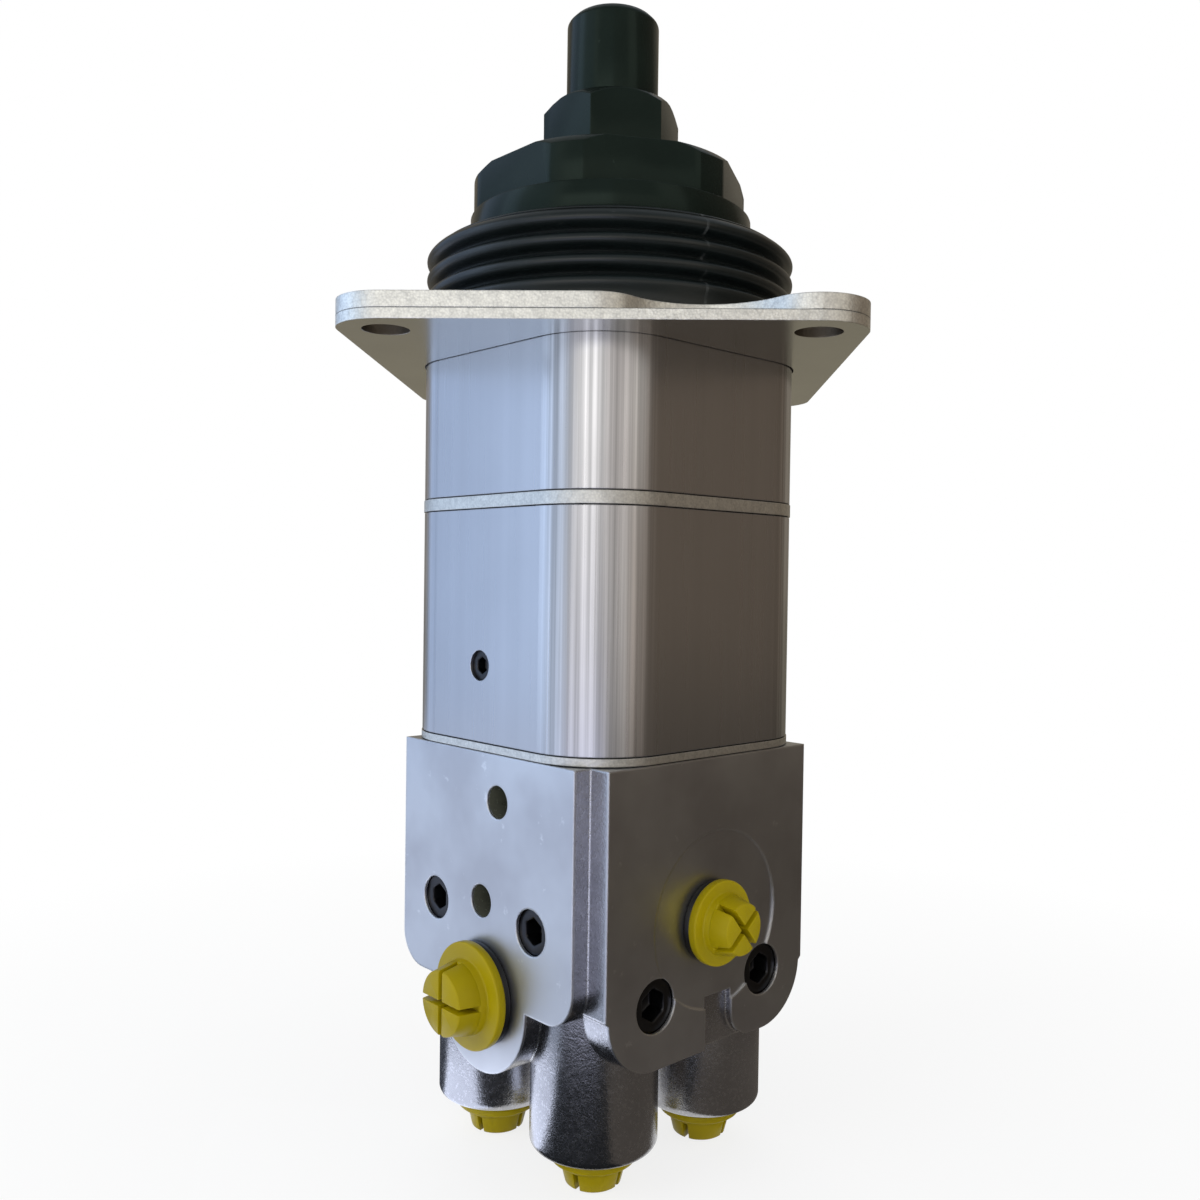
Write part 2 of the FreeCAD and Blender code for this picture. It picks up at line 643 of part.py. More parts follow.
upper_housing = stacked("upper_housing", housing_top, housing_top - upper_seam, half_body, size("body_corner"))
guide_bore = size("guide_radius")
drill(upper_housing, "XY_Plane", housing_top, round_holes(bores, guide_bore), size("chamber_roof"))
drill(
    upper_housing, "XY_Plane", chamber_roof,
    round_holes(bores, size("chamber_radius")), chamber_roof - upper_seam,
)
drill(
    upper_housing, "XY_Plane", housing_top,
    [(ZERO, ZERO, size("pedestal_shank_radius"))], size("pedestal_shank_long"),
)

gasket = size("gasket_thick")
proud = size("plate_proud")
inset = size("gasket_inset")
plate_half = half_body + proud
plate_corner = size("body_corner") + proud
gasket_half = half_body - inset
gasket_corner = size("body_corner") - inset

middle_plate = stacked(
    "middle_plate", upper_seam - gasket, size("middle_plate_thick") - gasket * 2.0, plate_half, plate_corner,
)
drill(
    middle_plate, "XY_Plane", upper_seam - gasket,
    round_holes(bores, size("chamber_radius")), size("middle_plate_thick"),
)

lower_housing = stacked("lower_housing", lower_seam, size("lower_housing_long"), half_body, size("body_corner"))
drill(lower_housing, "XY_Plane", lower_seam, round_holes(bores, size("chamber_radius")), size("chamber_depth"))
spool_bore = size("spool_radius") + runs_in
drill(lower_housing, "XY_Plane", lower_seam, round_holes(bores, spool_bore), size("lower_housing_long"))
set_screw_spot = (-size("set_screw_aside"), lower_seam - size("set_screw_place"))
set_screw_hole = (*set_screw_spot, size("set_screw_radius"))
drill(
    lower_housing, "XZ_Plane", half_body,
    [set_screw_hole], size("set_screw_long") + size("set_screw_sunk") + size("set_screw_room"),
)

bottom_plate = stacked(
    "bottom_plate", lower_housing_end - gasket, size("bottom_plate_thick") - gasket * 2.0, plate_half, plate_corner,
)
spool_pass = size("spool_radius") + size("tie_clearance")
drill(
    bottom_plate, "XY_Plane", lower_housing_end - gasket,
    round_holes(bores, spool_pass), size("bottom_plate_thick"),
)


def gasket_pair(label, upper_top, lower_top, hole):
    """Make the two equal gaskets that lie over and under one plate."""
    body = block_body(label)
    for top in (upper_top, lower_top):
        sketch = sketch_on(body, "XY_Plane", top)
        draw_rounded_square(sketch, gasket_half, gasket_corner)
        for x, y, radius in round_holes(ties, tie_hole) + round_holes(bores, hole):
            draw_circle(sketch, x, y, radius)
        extrude(body, sketch, gasket, backward=True)
    return body


chamber_gaskets = gasket_pair(
    "middle_plate_gaskets", upper_seam, lower_seam + gasket, size("chamber_radius") + inset,
)
spool_gaskets = gasket_pair("bottom_plate_gaskets", lower_housing_end, block_top + gasket, spool_pass)

# Port block: a casting with two machined pads and four bosses, then its drillings.
port_block = block_body("port_block")
outline = sketch_on(port_block, "XY_Plane", block_top)
draw_rounded_square(outline, size("block_half"), size("block_corner"))
extrude(port_block, outline, size("block_high"), backward=True)
dress(port_block, "PartDesign::Fillet", lambda edge: level_edge(edge, cast_underside.value), size("cast_round"))

boss_start = sketch_on(port_block, "XY_Plane", cast_underside + size("boss_bury"))
for x, y in bores:
    draw_circle(boss_start, x, y, size("boss_radius"))
extrude(port_block, boss_start, size("boss_high") + size("boss_bury"), backward=True)
dress(port_block, "PartDesign::Fillet", lambda edge: level_edge(edge, boss_end.value), size("boss_round"))

tank_pad = sketch_on(port_block, "XZ_Plane", half_body)
pad_half = size("tank_pad_half")
tank_pad_end = block_top - size("tank_pad_high")
tank_round = size("tank_pad_corner")
tank_round_low = tank_pad_end + tank_round
tank_round_aside = pad_half - tank_round
draw_outline(tank_pad, [
    (-pad_half, block_top), (pad_half, block_top), (pad_half, tank_round_low), (tank_round_aside, tank_pad_end),
    (-tank_round_aside, tank_pad_end), (-pad_half, tank_round_low),
])
extrude(port_block, tank_pad, size("pad_deep"), backward=True)
tank_corners = sketch_on(port_block, "XZ_Plane", half_body)
for side in (tank_round_aside, -tank_round_aside):
    draw_circle(tank_corners, side, tank_round_low, tank_round)
extrude(port_block, tank_corners, size("pad_deep"), backward=True)
tank_lobe = sketch_on(port_block, "XZ_Plane", half_body)
draw_circle(tank_lobe, ZERO, block_top - size("tank_lobe_place"), size("tank_lobe_radius"))
extrude(port_block, tank_lobe, size("tank_lobe_deep"), backward=True)

pressure_pad = sketch_on(port_block, "YZ_Plane", half_body)
lobe = size("pressure_pad_lobe")
pad_half = size("pressure_pad_half")
pad_end = pressure_plugs - lobe
draw_outline(pressure_pad, [
    (-pad_half, block_top), (pad_half, block_top), (pad_half, pressure_plugs), (half_bore, pad_end),
    (-half_bore, pad_end), (-pad_half, pressure_plugs),
])
extrude(port_block, pressure_pad, size("pad_deep"), backward=True)
lobes = sketch_on(port_block, "YZ_Plane", half_body)
for side in (half_bore, -half_bore):
    draw_circle(lobes, side, pressure_plugs, lobe)
extrude(port_block, lobes, size("pad_deep"), backward=True)
notch = sketch_on(port_block, "YZ_Plane", half_body)
notch_left = -size("pressure_notch_left")
notch_right = size("pressure_notch_right")
notch_round = size("pressure_notch_round")
notch_top = pad_end + size("pressure_notch_high")
notch_low = pad_end - size("pressure_notch_deep")
draw_outline(notch, [
    (notch_left, notch_low), (notch_right + notch_round, notch_low), (notch_right + notch_round, pad_end),
    (notch_right, pad_end + notch_round), (notch_right, notch_top), (notch_left, notch_top),
])
pocket(port_block, notch, size("pressure_notch_deep"))
notch_side = sketch_on(port_block, "YZ_Plane", half_body)
draw_circle(notch_side, notch_right + notch_round, pad_end + notch_round, notch_round)
extrude(port_block, notch_side, size("pressure_notch_deep"), backward=True)

# Ports, spot faces and cross drillings. The cross drillings join the galleries that run through the bores.
through_bores = half_body + half_bore + size("gallery_reach")
drill(
    port_block, "YZ_Plane", half_body,
    [(size("pressure_spot_aside"), pressure_port, size("pressure_spot_radius"))], size("spot_deep"),
)
drill(
    port_block, "YZ_Plane", half_body,
    [(ZERO, pressure_port, size("pressure_port_radius"))], size("pressure_port_deep") + size("spot_deep"),
)
drill(port_block, "YZ_Plane", half_body, [(ZERO, pressure_port, size("pressure_gallery_radius"))], through_bores)
drill(
    port_block, "XZ_Plane", half_body,
    [(ZERO, tank_port, size("tank_port_radius"))], size("tank_port_deep"),
)
drill(port_block, "XZ_Plane", half_body, [(ZERO, tank_port, size("tank_gallery_radius"))], through_bores)
pressure_gallery_spots = [(half_bore, pressure_port), (-half_bore, pressure_port)]
tank_gallery_spots = [(half_bore, pressure_plugs), (-half_bore, pressure_plugs)]
plug_seat = size("plug_long") + size("plug_sunk")
for plane, spots, plug in (
    ("XZ_Plane", pressure_gallery_spots, size("tank_plug_radius")),
    ("YZ_Plane", tank_gallery_spots, size("pressure_plug_radius")),
):
    drill(port_block, plane, half_body, round_holes(spots, size("gallery_radius")), through_bores)
    drill(port_block, plane, half_body, round_holes(spots, plug), plug_seat)
stand_low = (ZERO, block_top - size("stand_hole_low"), size("stand_hole_radius"))
stand_high = (size("stand_hole_aside"), block_top - size("stand_hole_high"), size("stand_hole_radius"))
drill(port_block, "XZ_Plane", half_body, [stand_low], size("stand_hole_deep"))
drill(port_block, "XZ_Plane", half_body, [stand_high], size("stand_hole_shallow"))
drill(port_block, "XY_Plane", block_top, round_holes(bores, spool_bore), size("spool_bore_deep"))
drill(port_block, "XY_Plane", block_top, round_holes(bores, size("work_gallery_radius")), block_top - boss_end)
drill(
    port_block, "XY_Plane", boss_end,
    round_holes(bores, size("work_port_radius")), size("work_port_deep"), backward=True,
)
drill(port_block, "XY_Plane", block_top, round_holes(ties, size("tie_radius")), size("tie_thread_deep"))


def socket_plugs(label, plane, spots, radius, length, sunk, across, socket_deep):
    """Make screwed plugs with a hexagon socket, set into one face of the block."""
    body = block_body(label)
    outer = half_body - sunk
    rounds = sketch_on(body, plane, outer)
    for x, y in spots:
        draw_circle(rounds, x, y, radius)
    extrude(body, rounds, length, backward=True)
    sockets = sketch_on(body, plane, outer)
    for x, y in spots:
        draw_hexagon(sockets, across, 0.0, x, y)
    pocket(body, sockets, socket_deep)
    return body


tank_pad_plugs = socket_plugs(
    "gallery_plugs_tank_side", "XZ_Plane", pressure_gallery_spots, size("tank_plug_radius"),
    size("plug_long"), size("plug_sunk"), size("tank_plug_across"), size("plug_socket_deep"),
)
pressure_pad_plugs = socket_plugs(
    "gallery_plugs_pressure_side", "YZ_Plane", tank_gallery_spots, size("pressure_plug_radius"),
    size("plug_long"), size("plug_sunk"), size("pressure_plug_across"), size("plug_socket_deep"),
)
set_screw = socket_plugs(
    "housing_set_screw", "XZ_Plane", [set_screw_spot], size("set_screw_radius"),
    size("set_screw_long"), size("set_screw_sunk"), size("set_screw_across"), size("set_screw_socket"),
)

# Shipping caps. Each is drawn with its port face at height 0 and the knob upwards, then turned to its port.
seal = size("cap_seal_thick")


def port_cap(label, name, port_radius, x, y, z, rotation):
    """Make one hollow plastic cap with a cross-slotted knob."""
    flange = size(f"{name}_cap_flange")
    thick = size(f"{name}_cap_thick")
    knob = size(f"{name}_cap_knob")
    high = size(f"{name}_cap_high")
    shank = size(f"{name}_cap_shank")
    radius = port_radius - size("cap_fit")
    top = seal + thick
    body = turned(label, [
        (radius, -shank), (radius, seal), (flange, seal), (flange, top), (knob, top),
        (knob - size("knob_draft"), top + high), (ZERO, top + high), (ZERO, top),
        (radius - size("cap_wall"), top), (radius - size("cap_wall"), -shank),
    ], x, y, z, rotation)
    slots = sketch_on(body, "XY_Plane", top + high)
    half_slot = size("cap_slot") / 2.0
    draw_outline(slots, [
        (half_slot, half_slot), (knob, half_slot), (knob, -half_slot), (half_slot, -half_slot),
        (half_slot, -knob), (-half_slot, -knob), (-half_slot, -half_slot), (-knob, -half_slot),
        (-knob, half_slot), (-half_slot, half_slot), (-half_slot, knob), (half_slot, knob),
    ])
    pocket(body, slots, high * size("cap_slot_share"))
    return body


up = Vector(0, 0, 1)
pressure_turn = Rotation(up, BODY_TURN) * Rotation(up, Vector(1, 0, 0)) * Rotation(up, PRESSURE_CAP_TURN)
tank_turn = Rotation(up, BODY_TURN) * Rotation(up, Vector(0, -1, 0))
down_turn = Rotation(Vector(1, 0, 0), 180.0) * Rotation(up, WORK_CAP_TURN)
pressure_sink = size("spot_deep") * ROOT_HALF
pressure_spot = (face_across - pressure_sink, pressure_sink - face_across, pressure_port)
tank_spot = (-face_across, -face_across, tank_port)
pressure_cap = port_cap("pressure_port_cap", "pressure", size("pressure_port_radius"), *pressure_spot, pressure_turn)
tank_cap = port_cap("tank_port_cap", "tank", size("tank_port_radius"), *tank_spot, tank_turn)
work_cap = port_cap("work_port_cap_pattern", "work", size("work_port_radius"), ZERO, ZERO, boss_end, down_turn)
work_caps = copies("work_port_caps", work_cap, plunger_spots.values())


def cap_seal(label, name, port_radius, x, y, z, rotation):
    """Make the black ring that sits under a cap's flange."""
    outer = size(f"{name}_cap_flange") - size("cap_seal_inset")
    return turned(label, [(port_radius, ZERO), (outer, ZERO), (outer, seal), (port_radius, seal)], x, y, z, rotation)


pressure_seal = cap_seal(
    "pressure_cap_seal", "pressure", size("pressure_port_radius"), *pressure_spot, pressure_turn)
tank_seal = cap_seal("tank_cap_seal", "tank", size("tank_port_radius"), *tank_spot, tank_turn)
work_seal = cap_seal("work_cap_seal_pattern", "work", size("work_port_radius"), ZERO, ZERO, boss_end, down_turn)
work_seals = copies("work_cap_seals", work_seal, plunger_spots.values())

# Retainer plate: holds the guides down and carries the boot's foot.
groove_low = flange_top + (size("retainer_thick") - size("retainer_bead")) / 2.0
groove_high = groove_low + size("retainer_bead")
retainer_edge = size("retainer_radius")
groove_floor = retainer_edge - size("retainer_groove")
opening_edge = size("retainer_opening")
retainer = turned("retainer_plate", [
    (opening_edge, flange_top), (retainer_edge, flange_top), (retainer_edge, groove_low), (groove_floor, groove_low),
    (groove_floor, groove_high), (retainer_edge, groove_high), (retainer_edge, retainer_top),
    (opening_edge, retainer_top),
])
drill(
    retainer, "XY_Plane", retainer_top,
    round_holes(plunger_spots.values(), size("plunger_opening")), size("retainer_thick"),
)
countersink = sketch_on(retainer, "XY_Plane", retainer_top)
for x, y in tie_spots:
    draw_circle(countersink, x, y, size("tie_head_radius"))
cone = pocket(retainer, countersink, size("tie_head_high"))
cone.TaperAngle = -45.0
drill(retainer, "XY_Plane", retainer_top, round_holes(tie_spots, size("tie_radius")), size("retainer_thick"))

tie_end = block_top - size("tie_thread_deep") + size("tie_end_gap")
tie_screw = turned("tie_screw_pattern", [
    (ZERO, tie_end), (size("tie_radius"), tie_end), (size("tie_radius"), retainer_top - size("tie_head_high")),
    (size("tie_head_radius"), retainer_top), (ZERO, retainer_top),
])
tie_socket = sketch_on(tie_screw, "XY_Plane", retainer_top)
draw_hexagon(tie_socket, size("tie_socket_across"), 0.0)
pocket(tie_screw, tie_socket, size("tie_socket_deep"))
tie_screws = copies("tie_screws", tie_screw, tie_spots)

# Plunger guides and seals.
guide_inner = size("plunger_radius") + runs_in
seal_bottom = flange_top - size("seal_thick") - size("guide_clearance")
guide = turned("plunger_guide_pattern", [
    (guide_inner, housing_top - size("guide_long")), (guide_bore, housing_top - size("guide_long")),
    (guide_bore, housing_top), (size("guide_head_radius"), housing_top), (size("guide_head_radius"), flange_top),
    (size("seal_radius"), flange_top), (size("seal_radius"), seal_bottom), (guide_inner, seal_bottom),
])
guides = copies("plunger_guides", guide, plunger_spots.values())
seal_ring = turned("plunger_seal_pattern", [
    (guide_inner, seal_bottom), (size("seal_radius"), seal_bottom),
    (size("seal_radius"), seal_bottom + size("seal_thick")), (guide_inner, seal_bottom + size("seal_thick")),
])
seals = copies("plunger_seals", seal_ring, plunger_spots.values())

# Universal joint: fixed fork along X, cross with its pins, moving fork along Y.
fork_in = size("fork_inner")
fork_out = size("fork_outer")
tip = size("fork_tip_radius")
pin_bore = size("pin_radius") + runs_in

shank = size("pedestal_shank_radius")
shank_end = housing_top - size("pedestal_shank_long") + size("tie_clearance")
pedestal = turned("joint_pedestal", [
    (ZERO, shank_end), (shank, shank_end), (shank, housing_top), (size("pedestal_radius"), housing_top),
    (size("pedestal_radius"), flange_top), (ZERO, flange_top),
])
arms = sketch_on(pedestal, "YZ_Plane")
draw_tab(arms, tip, housing_top, pivot)
extrude(pedestal, arms, fork_out * 2.0, both_ways=True)
gap = sketch_on(pedestal, "XZ_Plane")
gap_top = pivot + tip * 2.0
draw_outline(gap, [(-fork_in, flange_top), (fork_in, flange_top), (fork_in, gap_top), (-fork_in, gap_top)])
pocket(pedestal, gap, fork_out * 2.0, both_ways=True)
drill(pedestal, "YZ_Plane", fork_out, [(ZERO, pivot, pin_bore)], fork_out * 2.0)

cross = new_body("joint_cross")
cross_half = size("cross_half")
square = sketch_on(cross, "XY_Plane", pivot)
draw_outline(square, [
    (-cross_half, -cross_half), (cross_half, -cross_half), (cross_half, cross_half), (-cross_half, cross_half),
])
extrude(cross, square, size("cross_half_high") * 2.0, both_ways=True)
for plane in ("YZ_Plane", "XZ_Plane"):
    drill(cross, plane, cross_half, [(ZERO, pivot, size("pin_radius"))], cross_half * 2.0)

pins = new_body("joint_pins")
long_pin = sketch_on(pins, "YZ_Plane", -fork_out)
draw_circle(long_pin, ZERO, pivot, size("pin_radius"))
extrude(pins, long_pin, fork_out * 2.0)
pin_start = size("pin_radius") + size("pin_gap")
for offset, backward in ((pin_start, False), (-pin_start, True)):
    short_pin = sketch_on(pins, "XZ_Plane", offset)
    draw_circle(short_pin, ZERO, pivot, size("pin_radius"))
    extrude(pins, short_pin, fork_out - pin_start, backward=backward)

stud_end = nut_top + size("stud_in_stub")
yoke = turned("joint_yoke", [
    (ZERO, hub_bottom), (size("yoke_hub_radius"), hub_bottom), (size("yoke_hub_radius"), hub_top),
    (size("stud_radius"), hub_top), (size("stud_radius"), stud_end), (ZERO, stud_end),
])
arms = sketch_on(yoke, "XZ_Plane")
draw_tab(arms, tip, hub_top, pivot)
extrude(yoke, arms, fork_out * 2.0, both_ways=True)
gap = sketch_on(yoke, "YZ_Plane")
gap_low = pivot - tip * 2.0
draw_outline(gap, [(-fork_in, gap_low), (fork_in, gap_low), (fork_in, hub_bottom), (-fork_in, hub_bottom)])
pocket(yoke, gap, fork_out * 2.0, both_ways=True)
drill(yoke, "XZ_Plane", fork_out, [(ZERO, pivot, pin_bore)], fork_out * 2.0)

# Actuating disc, lock nut and lever stub, all on the yoke's stud.
hub_pocket = size("yoke_hub_radius") + size("boot_fit")
stud = size("stud_radius")
disc = turned("actuating_disc", [
    (stud, hub_top), (hub_pocket, hub_top), (hub_pocket, disc_face), (size("disc_face_radius"), disc_face),
    (size("disc_face_radius"), neck_bottom), (size("disc_neck_radius"), neck_bottom),
    (size("disc_neck_radius"), neck_top), (size("disc_rim_radius"), neck_top), (size("disc_rim_radius"), rim_top),
    (size("disc_head_radius"), rim_top), (size("disc_head_radius"), disc_top), (stud, disc_top),
])
disc_bevel = size("disc_chamfer")
flats = sketch_on(disc, "XY_Plane", disc_top)
draw_hexagon(flats, size("disc_across_flats"), size("flats_angle").value)
draw_circle(flats, ZERO, ZERO, size("disc_head_radius") * 2.0)
pocket(disc, flats, size("disc_head_high"))
spin(disc, [
    (size("disc_head_radius") - disc_bevel * ROOT_TWO, disc_top), (size("disc_head_radius"), disc_top),
    (size("disc_head_radius"), disc_top - disc_bevel),
], "PartDesign::Groove")

nut_corner = size("nut_across_flats") / ROOT_THREE
lock_nut = new_body("lock_nut")
hexagon = sketch_on(lock_nut, "XY_Plane", disc_top)
draw_hexagon(hexagon, size("nut_across_flats"), size("flats_angle").value)
draw_circle(hexagon, ZERO, ZERO, stud)
extrude(lock_nut, hexagon, size("nut_high"))
nut_bevel = size("nut_chamfer")
spin(lock_nut, [
    (nut_corner - nut_bevel * ROOT_TWO, nut_top), (nut_corner, nut_top), (nut_corner, nut_top - nut_bevel),
], "PartDesign::Groove")

stub_edge = size("stub_radius")
bevel = size("stub_chamfer")
stub_floor = stud_end + size("tie_clearance")
stub = turned("lever_stub", [
    (stud, nut_top), (stub_edge, nut_top), (stub_edge, stub_top - bevel), (stub_edge - bevel, stub_top),
    (ZERO, stub_top), (ZERO, stub_floor), (stud, stub_floor),
])

# Boot: folds between the retainer's groove and the disc's neck.
crest = size("boot_crest_radius")
root = size("boot_root_radius")
wall = size("boot_wall")
fold = size("boot_pitch")
fit = size("boot_fit")
first_crest = flange_top + size("boot_first_crest")
inner_foot = retainer_edge + fit
bead = groove_floor + fit
boot_neck = size("disc_neck_radius") + fit
shoulder_height = neck_top - size("boot_shoulder_drop")
foot_edge = crest - wall / 2.0
foot_top = first_crest - fold / 2.0
outer_side = [(foot_edge, flange_top), (foot_edge, foot_top)]
inner_side = []
for number in range(BOOT_FOLDS):
    height = first_crest + fold * float(number)
    outer_side.append((crest, height))
    inner_side.append((crest - wall, height))
    if number < BOOT_FOLDS - 1:
        outer_side.append((root, height + fold / 2.0))
        inner_side.append((root - wall, height + fold / 2.0))
boot_top = neck_top - fit
outer_side += [(size("boot_shoulder_radius"), shoulder_height), (size("boot_top_radius"), boot_top)]
top_side = [(boot_neck, boot_top), (boot_neck, boot_top - wall), (size("boot_top_radius") - wall, boot_top - wall)]
foot_side = [
    (inner_foot, retainer_top), (inner_foot, groove_high - fit), (bead, groove_high - fit), (bead, groove_low + fit),
    (inner_foot, groove_low + fit), (inner_foot, flange_top),
]
boot = turned("boot", outer_side + top_side + inner_side[::-1] + foot_side)

# Plungers, spring seats and spools: one set under each side of the disc.
plungers, seats, spools, springs = [], [], [], []
spool_neck = size("spool_neck_radius")
spool_land = size("spool_radius")
collar = size("spool_collar_radius")
nose = size("seat_nose_radius")
land_gap = size("gallery_radius") * 2.0
for side, (x, y) in plunger_spots.items():
    radius = size("plunger_radius")
    plunger = new_body(f"plunger_{side}", x, y)
    rod = sketch_on(plunger, "XY_Plane", seat_top)
    draw_circle(rod, ZERO, ZERO, radius)
    extrude(plunger, rod, dome_centre - seat_top + radius)
    dress(
        plunger, "PartDesign::Fillet",
        lambda edge: level_edge(edge, (dome_centre + radius).value), radius - size("boot_fit"),
    )
    plungers.append(plunger)

    seats.append(turned(f"spring_seat_{side}", [
        (ZERO, seat_top), (size("seat_radius"), seat_top), (size("seat_radius"), seat_bottom), (nose, seat_bottom),
        (nose, seat_bottom - size("seat_nose_long")), (ZERO, seat_bottom - size("seat_nose_long")),
    ], x, y))

    spools.append(turned(f"spool_{side}", [
        (ZERO, collar_top + size("spool_collar_thick")), (nose, collar_top + size("spool_collar_thick")),
        (nose, collar_top), (collar, collar_top), (collar, collar_bottom), (spool_neck, collar_bottom),
        (spool_neck, chamber_floor - land_gap), (spool_land, chamber_floor - land_gap),
        (spool_land, pressure_port + land_gap * 2.0), (spool_neck, pressure_port + land_gap * 2.0),
        (spool_neck, pressure_port + size("gallery_radius")), (spool_land, pressure_port + size("gallery_radius")),
        (spool_land, pressure_plugs + size("gallery_radius")), (spool_neck, pressure_plugs + size("gallery_radius")),
        (spool_neck, pressure_plugs), (spool_land, pressure_plugs), (spool_land, spool_end), (ZERO, spool_end),
    ], x, y))


def coil(label, x, y, low, high, mean, wire, turns):
    """Make a spring from flat facets: a square wire wound in short straight steps, with closed ends."""
    half = wire.value / 2.0
    bottom, top = low.value + half, high.value - half
    lift = (wire * size("coil_lift")).value
    rows = []
    for step in range(int(turns * STEPS_A_TURN) + 1):
        turn = step / STEPS_A_TURN
        if turn <= CLOSED_TURNS:
            height = bottom + lift * turn
        elif turn >= turns - CLOSED_TURNS:
            height = top - lift * (turns - turn)
        else:
            share = (turn - CLOSED_TURNS) / (turns - 2 * CLOSED_TURNS)
            height = bottom + lift + share * (top - bottom - 2.0 * lift)
        angle = 2.0 * math.pi * turn
        ring = []
        for out, rise in ((-half, -half), (half, -half), (half, half), (-half, half)):
            reach = mean.value + out
            ring.append(Vector(reach * math.cos(angle), reach * math.sin(angle), height + rise))
        rows.append(ring)
    faces = [Part.Face(Part.makePolygon(ring + ring[:1])) for ring in (rows[0], rows[-1])]
    for before, after in zip(rows, rows[1:]):
        for corner in range(4):
            beside = (corner + 1) % 4
            for triple in (
                (before[corner], before[beside], after[beside]),
                (before[corner], after[beside], after[corner]),
            ):
                faces.append(Part.Face(Part.makePolygon(list(triple) + [triple[0]])))
    shell = Part.Shell(faces)
    shell.sewShape()
    solid = Part.Solid(shell)
    if solid.Volume < 0:
        solid.reverse()
    feature = doc.addObject("Part::Feature", label)
    feature.Label = label
    feature.Shape = solid
    feature.Placement = Placement(Vector(x.value, y.value, 0), Rotation())
    return feature


for side, (x, y) in plunger_spots.items():
    springs.append(coil(
        f"return_spring_{side}", x, y, chamber_floor, seat_bottom, size("return_radius"), size("return_wire"), RETURN_TURNS))
    springs.append(coil(
        f"control_spring_{side}", x, y, collar_top, seat_bottom, size("control_radius"), size("control_wire"), CONTROL_TURNS))

doc.recompute()

sub_parts = [
    lower_flange, upper_flange, upper_housing, middle_plate, lower_housing, bottom_plate, chamber_gaskets,
    spool_gaskets, port_block, pressure_cap, tank_cap, work_caps, pressure_seal, tank_seal, work_seals,
    tank_pad_plugs, pressure_pad_plugs, set_screw, tie_screws, guides, seals, retainer, pedestal, cross, pins,
    yoke, disc, lock_nut, stub, boot, *plungers, *seats, *spools, *springs,
]

faults = [item.Label for item in doc.Objects if {"Invalid", "Error"} & set(item.State)]
for item in sub_parts:
    shape = item.Shape
    if shape.isNull() or not shape.isValid() or not shape.Solids:
        faults.append(item.Label)
if faults:
    raise RuntimeError("these features did not build: " + ", ".join(faults))

for item in sub_parts:
    item.Shape.exportStep(os.path.join("parts", item.Label + ".step"))
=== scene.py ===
"""Looks of the hydraulic pilot joystick valve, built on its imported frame."""
import logging
import math
from dataclasses import dataclass, field
from enum import Enum
from typing import Any, Iterable, Optional, Sequence, Union

import bmesh
import bpy
from mathutils import Matrix, Vector


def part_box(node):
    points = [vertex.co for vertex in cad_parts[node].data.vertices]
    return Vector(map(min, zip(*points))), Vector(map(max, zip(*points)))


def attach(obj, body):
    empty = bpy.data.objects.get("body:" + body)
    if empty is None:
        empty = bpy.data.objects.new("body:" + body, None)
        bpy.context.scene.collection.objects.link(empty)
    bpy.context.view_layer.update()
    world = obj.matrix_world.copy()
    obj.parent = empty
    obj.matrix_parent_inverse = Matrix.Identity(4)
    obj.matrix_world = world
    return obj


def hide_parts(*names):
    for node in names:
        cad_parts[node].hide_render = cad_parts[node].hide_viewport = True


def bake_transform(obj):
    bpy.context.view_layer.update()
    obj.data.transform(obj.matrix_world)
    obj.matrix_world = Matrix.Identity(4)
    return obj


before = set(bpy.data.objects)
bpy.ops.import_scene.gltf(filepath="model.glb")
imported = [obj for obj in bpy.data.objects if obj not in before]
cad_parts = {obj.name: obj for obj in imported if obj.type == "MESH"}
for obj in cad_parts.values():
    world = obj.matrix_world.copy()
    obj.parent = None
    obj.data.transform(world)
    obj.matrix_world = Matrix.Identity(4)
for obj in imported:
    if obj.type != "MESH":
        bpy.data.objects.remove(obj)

MM = 0.001
LOG = logging.getLogger("pilot_valve")
Pair = tuple[float, float]
Triple = tuple[float, float, float]
Colour = tuple[float, float, float, float]
Socket = bpy.types.NodeSocket
Value = Union[float, Sequence[float], bpy.types.NodeSocket]

# Kinds of group sockets, and the input that most effects take.
NUMBER = "NodeSocketFloat"
VECTOR = "NodeSocketVector"
PLACE = ("Vector", VECTOR, (0.0, 0.0, 0.0))

AXIS = Vector((0.0, 0.0, 1.0))
ORIGIN = Vector((0.0, 0.0, 0.0))
WHITE = (1.0, 1.0, 1.0, 1.0)

# Where the front is, in degrees about Z.
FRONT = -90.0


class Side(Enum):
    """The four sides that carry a plunger, a spool and a work port."""

    FRONT = (0.0, -1.0)
    RIGHT = (1.0, 0.0)
    BACK = (0.0, 1.0)
    LEFT = (-1.0, 0.0)


class Pad(Enum):
    """The two machined pads of the port block, by the way each one faces, in degrees about Z."""

    TANK = -135.0
    PRESSURE = -45.0

    def outwards(self) -> Vector:
        """Give the direction that the pad faces."""
        turn = math.radians(self.value)
        return Vector((math.cos(turn), math.sin(turn), 0.0))

    def aside(self) -> Vector:
        """Give the direction to the viewer's right along the pad."""
        turn = math.radians(self.value + 90.0)
        return Vector((math.cos(turn), math.sin(turn), 0.0))


class Lay(Enum):
    """How a tool left its marks: the stretch of the noise along X, Y and Z, in marks a metre."""

    UPRIGHT = (1500.0, 1500.0, 14.0)
    LEVEL = (60.0, 60.0, 2400.0)
    ROUND = (420.0, 420.0, 420.0)


# Shader tools


